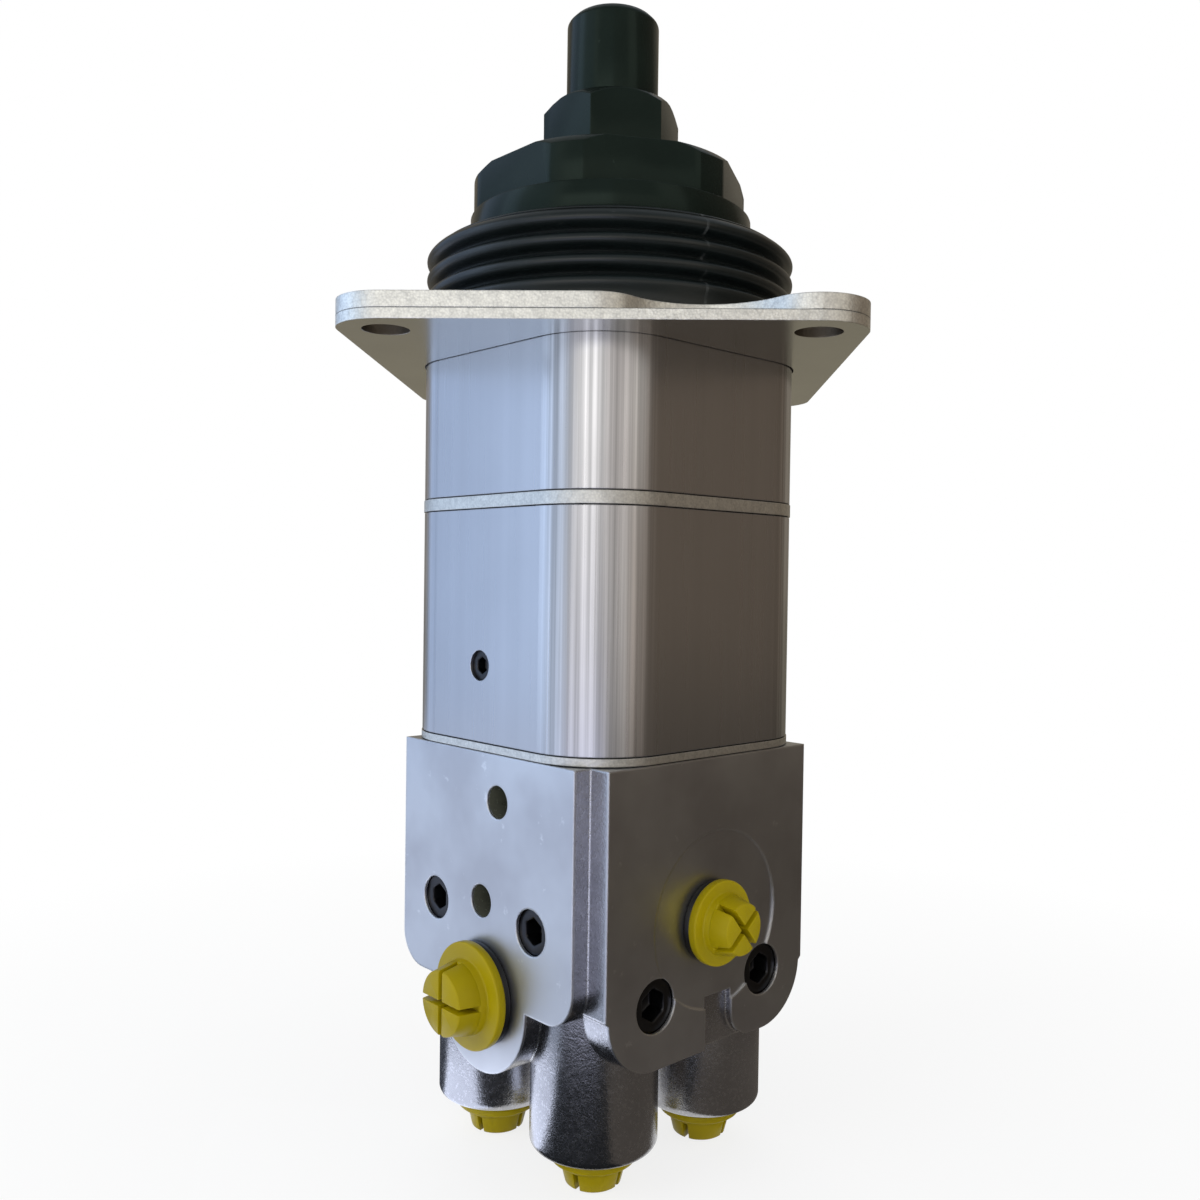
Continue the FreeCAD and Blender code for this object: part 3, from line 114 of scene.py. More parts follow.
class Graph:
    """A node tree with short ways to fill it."""

    def __init__(self, tree: bpy.types.NodeTree) -> None:
        """Keep the tree.

        Args:
            tree: The material's, world's or group's node tree.
        """
        self.tree = tree

    def feed(self, socket: Socket, value: Value) -> None:
        """Link a socket to another one, or set its own value.

        Args:
            socket: The input to fill.
            value: An output socket, a number or a row of numbers.
        """
        if isinstance(value, Socket):
            self.tree.links.new(value, socket)
        else:
            socket.default_value = value

    def node(self, kind: str, given: Optional[dict[Any, Value]] = None, **settings: Any) -> bpy.types.Node:
        """Add a node.

        Args:
            kind: The node's type.
            given: Its inputs by name or number.
            **settings: Its own properties.

        Returns:
            The new node.
        """
        made = self.tree.nodes.new(kind)
        for name, setting in settings.items():
            setattr(made, name, setting)
        for key, value in (given or {}).items():
            self.feed(made.inputs[key], value)
        return made

    def calc(self, operation: str, *values: Value, clamp: bool = False) -> Socket:
        """Add one step of arithmetic.

        Args:
            operation: The Math node's operation.
            *values: Its inputs in order.
            clamp: Whether the result is kept between 0 and 1.

        Returns:
            The result's socket.
        """
        made = self.node("ShaderNodeMath", dict(enumerate(values)), operation=operation, use_clamp=clamp)
        return made.outputs[0]

    def vector(self, operation: str, *values: Value) -> Socket:
        """Add one step of arithmetic on vectors.

        Args:
            operation: The Vector Math node's operation.
            *values: Its inputs in order.

        Returns:
            The result's socket: a number for a dot product or a length, and else a vector.
        """
        made = self.node("ShaderNodeVectorMath", dict(enumerate(values)), operation=operation)
        return made.outputs["Value" if operation in ("DOT_PRODUCT", "LENGTH") else "Vector"]

    def part(self, vector: Value, axis: int) -> Socket:
        """Give one of a vector's three numbers.

        Args:
            vector: The vector.
            axis: Which number: 0, 1 or 2.

        Returns:
            The number's socket.
        """
        return self.node("ShaderNodeSeparateXYZ", {0: vector}).outputs[axis]

    def noise(self, vector: Value, scale: Value, detail: float, roughness: float = 0.5) -> Socket:
        """Add a noise.

        Args:
            vector: Where it is read.
            scale: Its waves a metre.
            detail: How many finer waves lie over the first.
            roughness: How strong the finer waves are.

        Returns:
            The noise's socket, from 0 to 1 about a half.
        """
        given = {"Vector": vector, "Scale": scale, "Detail": detail, "Roughness": roughness}
        return self.node("ShaderNodeTexNoise", given).outputs[0]

    def contrast(self, value: Value, strength: Value) -> Socket:
        """Draw a value away from a half, and keep it between 0 and 1.

        Args:
            value: The value.
            strength: What its distance from a half is multiplied by.

        Returns:
            The result's socket.
        """
        stronger = self.calc("MULTIPLY", self.calc("SUBTRACT", value, 0.5), strength)
        return self.calc("ADD", stronger, 0.5, clamp=True)

    def slant(self, first: Value, second: Value) -> Socket:
        """Give the distance that lies two steps away, one at a right angle to the other.

        Args:
            first: The first step.
            second: The second step.

        Returns:
            The distance's socket.
        """
        squares = [self.calc("MULTIPLY", step, step) for step in (first, second)]
        return self.calc("SQRT", self.calc("ADD", *squares))

    def blend(self, share: Value, first: Value, second: Value) -> Socket:
        """Mix two colours.

        Args:
            share: How much of the second colour shows.
            first: The colour at 0.
            second: The colour at 1.

        Returns:
            The mixed colour's socket.
        """
        made = self.node("ShaderNodeMix", {0: share, 6: first, 7: second}, data_type="RGBA")
        return made.outputs[2]

    def spread(self, value: Value, low: Value, high: Value, start: Value = 0.0, end: Value = 1.0) -> Socket:
        """Map a value from one span to another.

        Args:
            value: The value to map.
            low: The result at the span's start.
            high: The result at the span's end.
            start: The value where the span starts.
            end: The value where the span ends.

        Returns:
            The mapped value's socket.
        """
        made = self.node("ShaderNodeMapRange", {"Value": value, 1: start, 2: end, 3: low, 4: high})
        return made.outputs[0]

    def place(self) -> Socket:
        """Give the surface point in the piece's own coordinates."""
        return self.node("ShaderNodeTexCoord").outputs["Object"]


@dataclass(frozen=True)
class Effect:
    """A shader group that several finishes share, each with its own values. It is made only once."""

    name: str = "effect"
    takes: tuple[tuple[str, str, Any], ...] = ()
    gives: tuple[tuple[str, str], ...] = (("Mask", NUMBER),)

    def fill(self, graph: Graph, given: bpy.types.Node, result: bpy.types.Node) -> None:
        """Fill the group between its inputs and outputs.

        Args:
            graph: The group's tree.
            given: The group's input node.
            result: The group's output node.
        """
        raise NotImplementedError

    def group(self) -> bpy.types.NodeTree:
        """Give the group, made when it is first asked for.

        Returns:
            The group's tree.
        """
        made = bpy.data.node_groups.get(self.name)
        if made is None:
            made = bpy.data.node_groups.new(self.name, "ShaderNodeTree")
            for name, kind, start in self.takes:
                made.interface.new_socket(name, in_out="INPUT", socket_type=kind).default_value = start
            for name, kind in self.gives:
                made.interface.new_socket(name, in_out="OUTPUT", socket_type=kind)
            graph = Graph(made)
            self.fill(graph, graph.node("NodeGroupInput"), graph.node("NodeGroupOutput"))
        return made

    def use(self, graph: Graph, **given: Value) -> bpy.types.Node:
        """Place the group in a material.

        Args:
            graph: The material's tree.
            **given: Values for the group's inputs, by name.

        Returns:
            The group's node.
        """
        made = graph.node("ShaderNodeGroup", node_tree=self.group())
        for name, value in given.items():
            graph.feed(made.inputs[name], value)
        return made


@dataclass(frozen=True)
class ToolMarks(Effect):
    """Fine lines that a cutter, a grinding wheel or a roll leaves, all one way."""

    name: str = "tool_marks"
    takes: tuple = (PLACE, ("Stretch", VECTOR, (1.0, 1.0, 1.0)), ("Contrast", NUMBER, 1.0))
    gives: tuple = (("Lines", NUMBER), ("Bands", NUMBER))
    line_detail: float = 5.0
    line_roughness: float = 0.65
    band_scale: float = 0.16
    band_detail: float = 2.0

    def fill(self, graph: Graph, given: bpy.types.Node, result: bpy.types.Node) -> None:
        """Stretch a noise along the marks: once for fine lines and once, wider, for bands.

        Args:
            graph: The group's tree.
            given: The group's input node.
            result: The group's output node.
        """
        drawn = graph.vector("MULTIPLY", given.outputs["Vector"], given.outputs["Stretch"])
        lines = graph.noise(drawn, 1.0, self.line_detail, self.line_roughness)
        bands = graph.noise(drawn, self.band_scale, self.band_detail)
        for source, name in ((lines, "Lines"), (bands, "Bands")):
            graph.feed(result.inputs[name], graph.contrast(source, given.outputs["Contrast"]))


@dataclass(frozen=True)
class CastSkin(Effect):
    """The sandy skin of a casting under its plating: small bumps, and grains that glint."""

    name: str = "cast_skin"
    takes: tuple = (PLACE, ("Grain", NUMBER, 1400.0))
    gives: tuple = (("Height", NUMBER), ("Glint", NUMBER))
    cell_height: float = 0.45
    coarser: float = 0.3
    soft_detail: float = 4.0
    soft_roughness: float = 0.6
    glint_from: float = 0.86

    def fill(self, graph: Graph, given: bpy.types.Node, result: bpy.types.Node) -> None:
        """Lay small cells over a soft noise, and take the highest grains as glints.

        Args:
            graph: The group's tree.
            given: The group's input node.
            result: The group's output node.
        """
        place, grain = given.outputs["Vector"], given.outputs["Grain"]
        cells = graph.node("ShaderNodeTexVoronoi", {"Vector": place, "Scale": grain})
        coarse = graph.calc("MULTIPLY", grain, self.coarser)
        soft = graph.noise(place, coarse, self.soft_detail, self.soft_roughness)
        height = graph.calc("ADD", graph.calc("MULTIPLY", cells.outputs["Distance"], self.cell_height), soft)
        graph.feed(result.inputs["Height"], height)
        shade = graph.node("ShaderNodeSeparateColor", {0: cells.outputs["Color"]})
        graph.feed(result.inputs["Glint"], graph.calc("GREATER_THAN", shade.outputs[0], self.glint_from))


@dataclass(frozen=True)
class Clouds(Effect):
    """Slow changes of tone, as fingers, oil and the plating bath leave them."""

    name: str = "clouds"
    takes: tuple = (PLACE, ("Size", NUMBER, 60.0), ("Contrast", NUMBER, 1.0))
    detail: float = 3.0

    def fill(self, graph: Graph, given: bpy.types.Node, result: bpy.types.Node) -> None:
        """Raise the contrast of a slow noise.

        Args:
            graph: The group's tree.
            given: The group's input node.
            result: The group's output node.
        """
        soft = graph.noise(given.outputs["Vector"], given.outputs["Size"], self.detail)
        graph.feed(result.inputs["Mask"], graph.contrast(soft, given.outputs["Contrast"]))


@dataclass(frozen=True)
class Specks(Effect):
    """Scattered dust, scuffs and small chips."""

    name: str = "specks"
    takes: tuple = (PLACE, ("Size", NUMBER, 500.0), ("Share", NUMBER, 0.3))
    detail: float = 6.0
    roughness: float = 0.7
    sharpness: float = 14.0

    def fill(self, graph: Graph, given: bpy.types.Node, result: bpy.types.Node) -> None:
        """Keep only the peaks of a noise.

        Args:
            graph: The group's tree.
            given: The group's input node.
            result: The group's output node.
        """
        soft = graph.noise(given.outputs["Vector"], given.outputs["Size"], self.detail, self.roughness)
        over = graph.calc("SUBTRACT", soft, graph.calc("SUBTRACT", 1.0, given.outputs["Share"]))
        graph.feed(result.inputs["Mask"], graph.calc("MULTIPLY", over, self.sharpness, clamp=True))


@dataclass(frozen=True)
class WornEdge(Effect):
    """Where an edge is worn, and the normal of that edge as if it were slightly rounded."""

    name: str = "worn_edge"
    takes: tuple = (PLACE, ("Radius", NUMBER, 0.0003), ("Amount", NUMBER, 1.0))
    gives: tuple = (("Mask", NUMBER), ("Normal", VECTOR))
    samples: int = 4
    strength: float = 9.0
    break_scale: float = 350.0
    break_detail: float = 3.0

    def fill(self, graph: Graph, given: bpy.types.Node, result: bpy.types.Node) -> None:
        """Compare the rounded normal with the real one, and break the result up.

        Args:
            graph: The group's tree.
            given: The group's input node.
            result: The group's output node.
        """
        radius = {"Radius": given.outputs["Radius"]}
        rounded = graph.node("ShaderNodeBevel", radius, samples=self.samples).outputs[0]
        flat = graph.node("ShaderNodeNewGeometry").outputs["Normal"]
        turn = graph.calc("SUBTRACT", 1.0, graph.vector("DOT_PRODUCT", rounded, flat))
        breaks = graph.noise(given.outputs["Vector"], self.break_scale, self.break_detail)
        broken = graph.calc("MULTIPLY", graph.calc("MULTIPLY", turn, self.strength), breaks)
        graph.feed(result.inputs["Mask"], graph.calc("MULTIPLY", broken, given.outputs["Amount"], clamp=True))
        graph.feed(result.inputs["Normal"], rounded)


@dataclass(frozen=True)
class SheetEdge(Effect):
    """Where a level sheet shows its cut edge and not its rolled faces."""

    name: str = "sheet_edge"
    steepest: float = 0.5

    def fill(self, graph: Graph, given: bpy.types.Node, result: bpy.types.Node) -> None:
        """Find the faces that stand upright.

        Args:
            graph: The group's tree.
            given: The group's input node.
            result: The group's output node.
        """
        flat = graph.node("ShaderNodeNewGeometry").outputs["True Normal"]
        level = graph.calc("ABSOLUTE", graph.part(flat, 2))
        graph.feed(result.inputs["Mask"], graph.calc("LESS_THAN", level, self.steepest))


@dataclass(frozen=True)
class MachinedPads(Effect):
    """Where the port block was milled: its two pads, its top and the ends of its bosses."""

    name: str = "machined_pads"
    takes: tuple = (PLACE, ("Reach", NUMBER, 0.03245), ("Top", NUMBER, -0.08115), ("Foot", NUMBER, -0.15885))

    def fill(self, graph: Graph, given: bpy.types.Node, result: bpy.types.Node) -> None:
        """Measure each point along the two directions that the pads face, and along Z.

        Args:
            graph: The group's tree.
            given: The group's input node.
            result: The group's output node.
        """
        place = given.outputs["Vector"]
        height = graph.part(place, 2)
        found = graph.calc("GREATER_THAN", height, given.outputs["Top"])
        found = graph.calc("MAXIMUM", found, graph.calc("LESS_THAN", height, given.outputs["Foot"]))
        for pad in Pad:
            along = graph.vector("DOT_PRODUCT", place, pad.outwards())
            found = graph.calc("MAXIMUM", found, graph.calc("GREATER_THAN", along, given.outputs["Reach"]))
        graph.feed(result.inputs["Mask"], found)


@dataclass(frozen=True)
class MilledCorner(Effect):
    """Where a housing's round corner was milled, and the upright strips that the cutter left on it."""

    name: str = "milled_corner"
    takes: tuple = (PLACE, ("Start", NUMBER, 0.0372), ("End", NUMBER, 0.0384))
    gives: tuple = (("Mask", NUMBER), ("Strips", NUMBER))
    stretch: Triple = (620.0, 620.0, 3.0)
    detail: float = 3.0
    roughness: float = 0.7
    span: Pair = (0.4, 0.68)

    def fill(self, graph: Graph, given: bpy.types.Node, result: bpy.types.Node) -> None:
        """Find the corners by their distance from the axis, and lay noise strips along Z.

        Args:
            graph: The group's tree.
            given: The group's input node.
            result: The group's output node.
        """
        place = given.outputs["Vector"]
        reach = graph.vector("LENGTH", graph.vector("MULTIPLY", place, (1.0, 1.0, 0.0)))
        corner = graph.spread(reach, 0.0, 1.0, given.outputs["Start"], given.outputs["End"])
        drawn = graph.vector("MULTIPLY", place, self.stretch)
        strips = graph.noise(drawn, 1.0, self.detail, self.roughness)
        graph.feed(result.inputs["Mask"], corner)
        graph.feed(result.inputs["Strips"], graph.spread(strips, 0.0, 1.0, *self.span))


@dataclass(frozen=True)
class MouldLine(Effect):
    """The faint upright line where two halves of a mould met."""

    name: str = "mould_line"
    takes: tuple = (PLACE, ("Way", VECTOR, (1.0, 0.0, 0.0)), ("Width", NUMBER, 0.0004))
    break_scale: float = 420.0
    break_detail: float = 3.0
    break_span: Pair = (0.42, 0.6)

    def fill(self, graph: Graph, given: bpy.types.Node, result: bpy.types.Node) -> None:
        """Keep a thin strip round the plane through the axis, on one side only, and break it up.

        Args:
            graph: The group's tree.
            given: The group's input node.
            result: The group's output node.
        """
        place, way = given.outputs["Vector"], given.outputs["Way"]
        off = graph.calc("ABSOLUTE", graph.part(graph.vector("CROSS_PRODUCT", place, way), 2))
        near = graph.calc("LESS_THAN", off, given.outputs["Width"])
        side = graph.calc("GREATER_THAN", graph.vector("DOT_PRODUCT", place, way), 0.0)
        breaks = graph.noise(place, self.break_scale, self.break_detail)
        gaps = graph.spread(breaks, 0.0, 1.0, *self.break_span)
        graph.feed(result.inputs["Mask"], graph.calc("MULTIPLY", graph.calc("MULTIPLY", near, side), gaps))


# Finishes


@dataclass(frozen=True)
class Finish:
    """One surface finish. The kinds below add their own grain, wear and colour to it."""

    name: str
    colour: Colour
    roughness: float
    metallic: float = 0.0
    cloud_size: float = 60.0
    cloud_contrast: float = 1.5
    speck_size: float = 500.0
    speck_spread: float = 0.3
    speck_share: float = 0.2
    edge_radius: float = 0.0003
    edge_amount: float = 0.5

    def material(self) -> bpy.types.Material:
        """Give the finish's material, made when it is first asked for.

        Returns:
            The material.
        """
        made = bpy.data.materials.get(self.name)
        if made is None:
            made = bpy.data.materials.new(self.name)
            made.use_nodes = True
            graph = Graph(made.node_tree)
            shader = made.node_tree.nodes["Principled BSDF"]
            shader.inputs["Metallic"].default_value = self.metallic
            made.diffuse_color = self.colour
            self.dress(graph, shader)
            LOG.info("finish %s", self.name)
        return made

    def dress(self, graph: Graph, shader: bpy.types.Node) -> None:
        """Wire the finish's own effects to the shader.

        Args:
            graph: The material's tree.
            shader: Its Principled BSDF.
        """
        raise NotImplementedError

    def shade(self, factor: float) -> Colour:
        """Give the finish's colour made lighter or darker.

        Args:
            factor: What red, green and blue are multiplied by.

        Returns:
            The new colour.
        """
        red, green, blue, alpha = self.colour
        return (min(red * factor, 1.0), min(green * factor, 1.0), min(blue * factor, 1.0), alpha)

    def shades(self, graph: Graph, value: Value, span: Pair) -> Socket:
        """Give the finish's colour between two shades.

        Args:
            graph: The material's tree.
            value: How far the colour is from the first shade to the second, from 0 to 1.
            span: The factors of the first and the second shade.

        Returns:
            The colour's socket.
        """
        return graph.blend(value, self.shade(span[0]), self.shade(span[1]))

    def clouds(self, graph: Graph, place: Socket) -> Socket:
        """Give the finish's slow changes of tone.

        Args:
            graph: The material's tree.
            place: The surface point.

        Returns:
            A mask's socket.
        """
        made = Clouds().use(graph, Vector=place, Size=self.cloud_size, Contrast=self.cloud_contrast)
        return made.outputs["Mask"]

    def speckled(self, graph: Graph, place: Socket, under: Value, over: Value) -> Socket:
        """Scatter the finish's specks in one colour over another.

        Args:
            graph: The material's tree.
            place: The surface point.
            under: The colour between the specks.
            over: The specks' own colour.

        Returns:
            The colour's socket.
        """
        specks = Specks().use(graph, Vector=place, Size=self.speck_size, Share=self.speck_spread)
        return graph.blend(graph.spread(specks.outputs["Mask"], 0.0, self.speck_share), under, over)

    def edges(self, graph: Graph, place: Socket) -> bpy.types.Node:
        """Find the finish's worn edges.

        Args:
            graph: The material's tree.
            place: The surface point.

        Returns:
            The effect's node, with the edges' mask and normal.
        """
        return WornEdge().use(graph, Vector=place, Radius=self.edge_radius, Amount=self.edge_amount)

    def gloss(self, graph: Graph, value: Value, span: Pair) -> Socket:
        """Give the finish's roughness between two limits.

        Args:
            graph: The material's tree.
            value: How far the roughness is from the first limit to the second, from 0 to 1.
            span: How far each limit lies from the finish's own roughness.

        Returns:
            The roughness's socket.
        """
        return graph.spread(value, self.roughness + span[0], self.roughness + span[1])

    def bump(
        self, graph: Graph, shader: bpy.types.Node, height: Value, depth: float,
        normal: Optional[Value] = None,
    ) -> None:
        """Give the shader a fine relief.

        Args:
            graph: The material's tree.
            shader: Its Principled BSDF.
            height: The relief, from 0 to 1.
            depth: How deep the relief is, in metres.
            normal: The normal that the relief stands on.
        """
        relief = graph.node("ShaderNodeBump", {"Strength": 1.0, "Distance": depth, "Height": height})
        if normal is not None:
            graph.feed(relief.inputs["Normal"], normal)
        graph.feed(shader.inputs["Normal"], relief.outputs[0])


@dataclass(frozen=True)
class MachinedMetal(Finish):
    """Cut or ground metal with tool marks one way, softly clouded, brighter along its edges."""

    lay: Lay = Lay.UPRIGHT
    depth: float = 0.000004
    contrast: float = 1.6
    metallic: float = 1.0
    band_shades: Pair = (0.86, 1.12)
    cloud_size: float = 45.0
    cloud_contrast: float = 1.4
    cloud_share: float = 0.35
    cloud_shade: float = 0.78
    edge_amount: float = 0.8
    edge_shade: float = 1.3
    line_gloss: Pair = (-0.05, 0.08)

    def tone(self, graph: Graph, place: Socket, marks: bpy.types.Node) -> Socket:
        """Band the colour by the tool marks.

        Args:
            graph: The material's tree.
            place: The surface point.
            marks: The tool marks.

        Returns:
            The colour's socket.
        """
        return self.shades(graph, marks.outputs["Bands"], self.band_shades)

    def dress(self, graph: Graph, shader: bpy.types.Node) -> None:
        """Put the marks in the colour, the roughness and the relief.

        Args:
            graph: The material's tree.
            shader: Its Principled BSDF.
        """
        place = graph.place()
        marks = ToolMarks().use(graph, Vector=place, Stretch=self.lay.value, Contrast=self.contrast)
        edge = self.edges(graph, place)
        share = graph.spread(self.clouds(graph, place), 0.0, self.cloud_share)
        clouded = graph.blend(share, self.tone(graph, place, marks), self.shade(self.cloud_shade))
        worn = graph.blend(edge.outputs["Mask"], clouded, self.shade(self.edge_shade))
        graph.feed(shader.inputs["Base Color"], worn)
        graph.feed(shader.inputs["Roughness"], self.gloss(graph, marks.outputs["Lines"], self.line_gloss))
        self.bump(graph, shader, marks.outputs["Lines"], self.depth, edge.outputs["Normal"])


@dataclass(frozen=True)
class MilledHousing(MachinedMetal):
    """A housing's machined skin: calm flats, and upright cutter strips on its round corners, painted brighter
    as a highlight.
    """

    contrast: float = 0.7
    strip_highlight_shades: Pair = (0.78, 1.6)

    def tone(self, graph: Graph, place: Socket, marks: bpy.types.Node) -> Socket:
        """Add the strips of the corners, painted brighter as a highlight, to the banded colour.

        Args:
            graph: The material's tree.
            place: The surface point.
            marks: The tool marks.

        Returns:
            The colour's socket.
        """
        corner = MilledCorner().use(graph, Vector=place)
        # Painted highlight: the corner strips run from a little darker to much brighter than the housing's
        # colour.
        striped_highlight = self.shades(graph, corner.outputs["Strips"], self.strip_highlight_shades)
        return graph.blend(corner.outputs["Mask"], super().tone(graph, place, marks), striped_highlight)


@dataclass(frozen=True)
class ZincSheet(Finish):
    """Bright zinc-plated sheet: smooth rolled faces, cut edges with a torn grain, a painted shadow along the
    seam of the flange plates, darker bolt holes.
    """

    metallic: float = 1.0
    cut_colour: Colour = (0.90, 0.89, 0.83, 1.0)
    cut_gloss: Pair = (0.0, 0.24)
    torn_grain: float = 2200.0
    torn_share: float = 0.65
    torn_from: float = 0.45
    torn_shade: float = 0.66
    torn_depth: float = 0.00006
    rolled_shades: Pair = (0.9, 1.05)
    cloud_size: float = 55.0
    seam_height: float = 0.002
    seam_reach: Pair = (0.000052, 0.00013)
    seam_share: float = 0.85
    seam_shadow_shade: float = 0.04
    hole_place: float = 0.04
    hole_reach: float = 0.0049
    hole_colour: Colour = (0.20, 0.17, 0.13, 1.0)

    def dress(self, graph: Graph, shader: bpy.types.Node) -> None:
        """Use the grain only where the sheet's cut edge shows.

        Args:
            graph: The material's tree.
            shader: Its Principled BSDF.
        """
        place = graph.place()
        cut = SheetEdge().use(graph).outputs["Mask"]
        grain = CastSkin().use(graph, Vector=place, Grain=self.torn_grain).outputs["Height"]
        edge = self.edges(graph, place)
        rolled = self.shades(graph, self.clouds(graph, place), self.rolled_shades)
        share = graph.spread(grain, 0.0, self.torn_share, self.torn_from, 1.0)
        torn = graph.blend(share, self.cut_colour, self.shade(self.torn_shade))
        # Painted shadow: a dark line is painted on the cut edges where the two flange plates meet.
        seam = graph.calc("MULTIPLY", self.in_seam_shadow(graph, place), cut)
        tone = graph.blend(seam, graph.blend(cut, rolled, torn), self.shade(self.seam_shadow_shade))
        worn = graph.blend(edge.outputs["Mask"], tone, self.cut_colour)
        hole = graph.calc("MULTIPLY", self.in_hole(graph, place), cut)
        graph.feed(shader.inputs["Base Color"], graph.blend(hole, worn, self.hole_colour))
        graph.feed(shader.inputs["Roughness"], self.gloss(graph, cut, self.cut_gloss))
        self.bump(graph, shader, graph.calc("MULTIPLY", grain, cut), self.torn_depth, edge.outputs["Normal"])

    def in_seam_shadow(self, graph: Graph, place: Socket) -> Socket:
        """Find the seam between the two flange plates, where a shadow is painted as a dark line.

        Args:
            graph: The material's tree.
            place: The surface point.

        Returns:
            A mask's socket, strongest at the seam's height.
        """
        off = graph.calc("ABSOLUTE", graph.calc("SUBTRACT", graph.part(place, 2), self.seam_height))
        return graph.spread(off, self.seam_share, 0.0, *self.seam_reach)

    def in_hole(self, graph: Graph, place: Socket) -> Socket:
        """Find the walls of the four bolt holes, which are coloured darker.

        Args:
            graph: The material's tree.
            place: The surface point.

        Returns:
            A mask's socket, 1 near a hole's axis.
        """
        ways = [graph.calc("ABSOLUTE", graph.part(place, axis)) for axis in (0, 1)]
        off = [graph.calc("SUBTRACT", way, self.hole_place) for way in ways]
        return graph.calc("LESS_THAN", graph.slant(*off), self.hole_reach)


@dataclass(frozen=True)
class PlatedCasting(Finish):
    """A plated casting with a sandy skin with painted glints and painted edge highlights, milled bright on
    its pads, dull in its two open holes.
    """

    metallic: float = 1.0
    skin_grain: float = 2600.0
    skin_shades: Pair = (0.7, 1.15)
    skin_gloss: Pair = (-0.06, 0.12)
    depth: float = 0.000034
    glint_share: float = 0.2
    glint_highlight_shade: float = 1.7
    cloud_size: float = 50.0
    cloud_contrast: float = 1.6
    edge_amount: float = 1.2
    # White of the painted edge highlights and of the scuffs.
    highlight_and_scuff_colour: Colour = WHITE
    pad_colour: Colour = (0.59, 0.60, 0.62, 1.0)
    pad_roughness: float = 0.36
    pad_relief: float = 0.12
    pad_edge_highlight_share: float = 0.5
    mark_relief: float = 0.06
    mottle_share: float = 0.9
    mottle_span: Pair = (0.3, 0.7)
    mottle_shade: float = 1.05
    speck_size: float = 240.0
    speck_spread: float = 0.37
    speck_share: float = 0.3
    drilled: tuple[Pair, ...] = ((0.0, -0.1111), (0.0049, -0.0904))
    drill_reach: float = 0.0036
    drill_colour: Colour = (0.15, 0.155, 0.12, 1.0)
    drill_metallic: float = 0.4

    def dress(self, graph: Graph, shader: bpy.types.Node) -> None:
        """Change from the cast skin to the milled one where the pads are, and dull the holes.

        Args:
            graph: The material's tree.
            shader: Its Principled BSDF.
        """
        place = graph.place()
        pads = MachinedPads().use(graph, Vector=place).outputs["Mask"]
        rest = graph.calc("SUBTRACT", 1.0, pads)
        skin = CastSkin().use(graph, Vector=place, Grain=self.skin_grain)
        marks = ToolMarks().use(graph, Vector=place, Stretch=Lay.LEVEL.value, Contrast=1.0)
        clouds = self.clouds(graph, place)
        edge = self.edges(graph, place)
        cast = self.shades(graph, clouds, self.skin_shades)
        # Painted glints: the glinting grains of the skin are painted brighter into the colour.
        glints = graph.spread(skin.outputs["Glint"], 0.0, self.glint_share)
        glinting = graph.blend(glints, cast, self.shade(self.glint_highlight_shade))
        tone = graph.blend(pads, glinting, self.milled(graph, place, clouds))
        # Painted highlight, also standing for wear: worn edges are painted white, fully off the pads and less
        # on them.
        bright = graph.calc("MULTIPLY", edge.outputs["Mask"], graph.spread(pads, 1.0, self.pad_edge_highlight_share))
        highlighted_edges = graph.blend(bright, tone, self.highlight_and_scuff_colour)
        hole = graph.calc("MULTIPLY", self.in_hole(graph, place), rest)
        graph.feed(shader.inputs["Base Color"], graph.blend(hole, highlighted_edges, self.drill_colour))
        graph.feed(shader.inputs["Metallic"], graph.spread(hole, self.metallic, self.drill_metallic))
        rough = graph.calc("MULTIPLY", self.gloss(graph, skin.outputs["Height"], self.skin_gloss), rest)
        smooth = graph.calc("MULTIPLY", pads, self.pad_roughness)
        graph.feed(shader.inputs["Roughness"], graph.calc("ADD", rough, smooth))
        sandy = graph.calc("MULTIPLY", skin.outputs["Height"], graph.spread(pads, 1.0, self.pad_relief))
        lines = graph.calc("MULTIPLY", marks.outputs["Lines"], self.mark_relief)
        self.bump(graph, shader, graph.calc("ADD", sandy, lines), self.depth, edge.outputs["Normal"])

    def milled(self, graph: Graph, place: Socket, clouds: Socket) -> Socket:
        """Mottle and scuff the milled colour.

        Args:
            graph: The material's tree.
            place: The surface point.
            clouds: The slow changes of tone.

        Returns:
            The colour's socket.
        """
        mottle = graph.spread(clouds, 0.0, self.mottle_share, *self.mottle_span)
        mottled = graph.blend(mottle, self.pad_colour, self.shade(self.mottle_shade))
        return self.speckled(graph, place, mottled, self.highlight_and_scuff_colour)

    def in_hole(self, graph: Graph, place: Socket) -> Socket:
        """Find the walls of the two open holes in the tank's pad, which the drill left dull.

        Args:
            graph: The material's tree.
            place: The surface point.

        Returns:
            A mask's socket, 1 near a hole's axis.
        """
        along = graph.vector("DOT_PRODUCT", place, Pad.TANK.aside())
        height = graph.part(place, 2)
        found: Value = 0.0
        for across, level in self.drilled:
            off = [graph.calc("SUBTRACT", along, across), graph.calc("SUBTRACT", height, level)]
            inside = graph.calc("LESS_THAN", graph.slant(*off), self.drill_reach)
            found = graph.calc("MAXIMUM", found, inside)
        return found


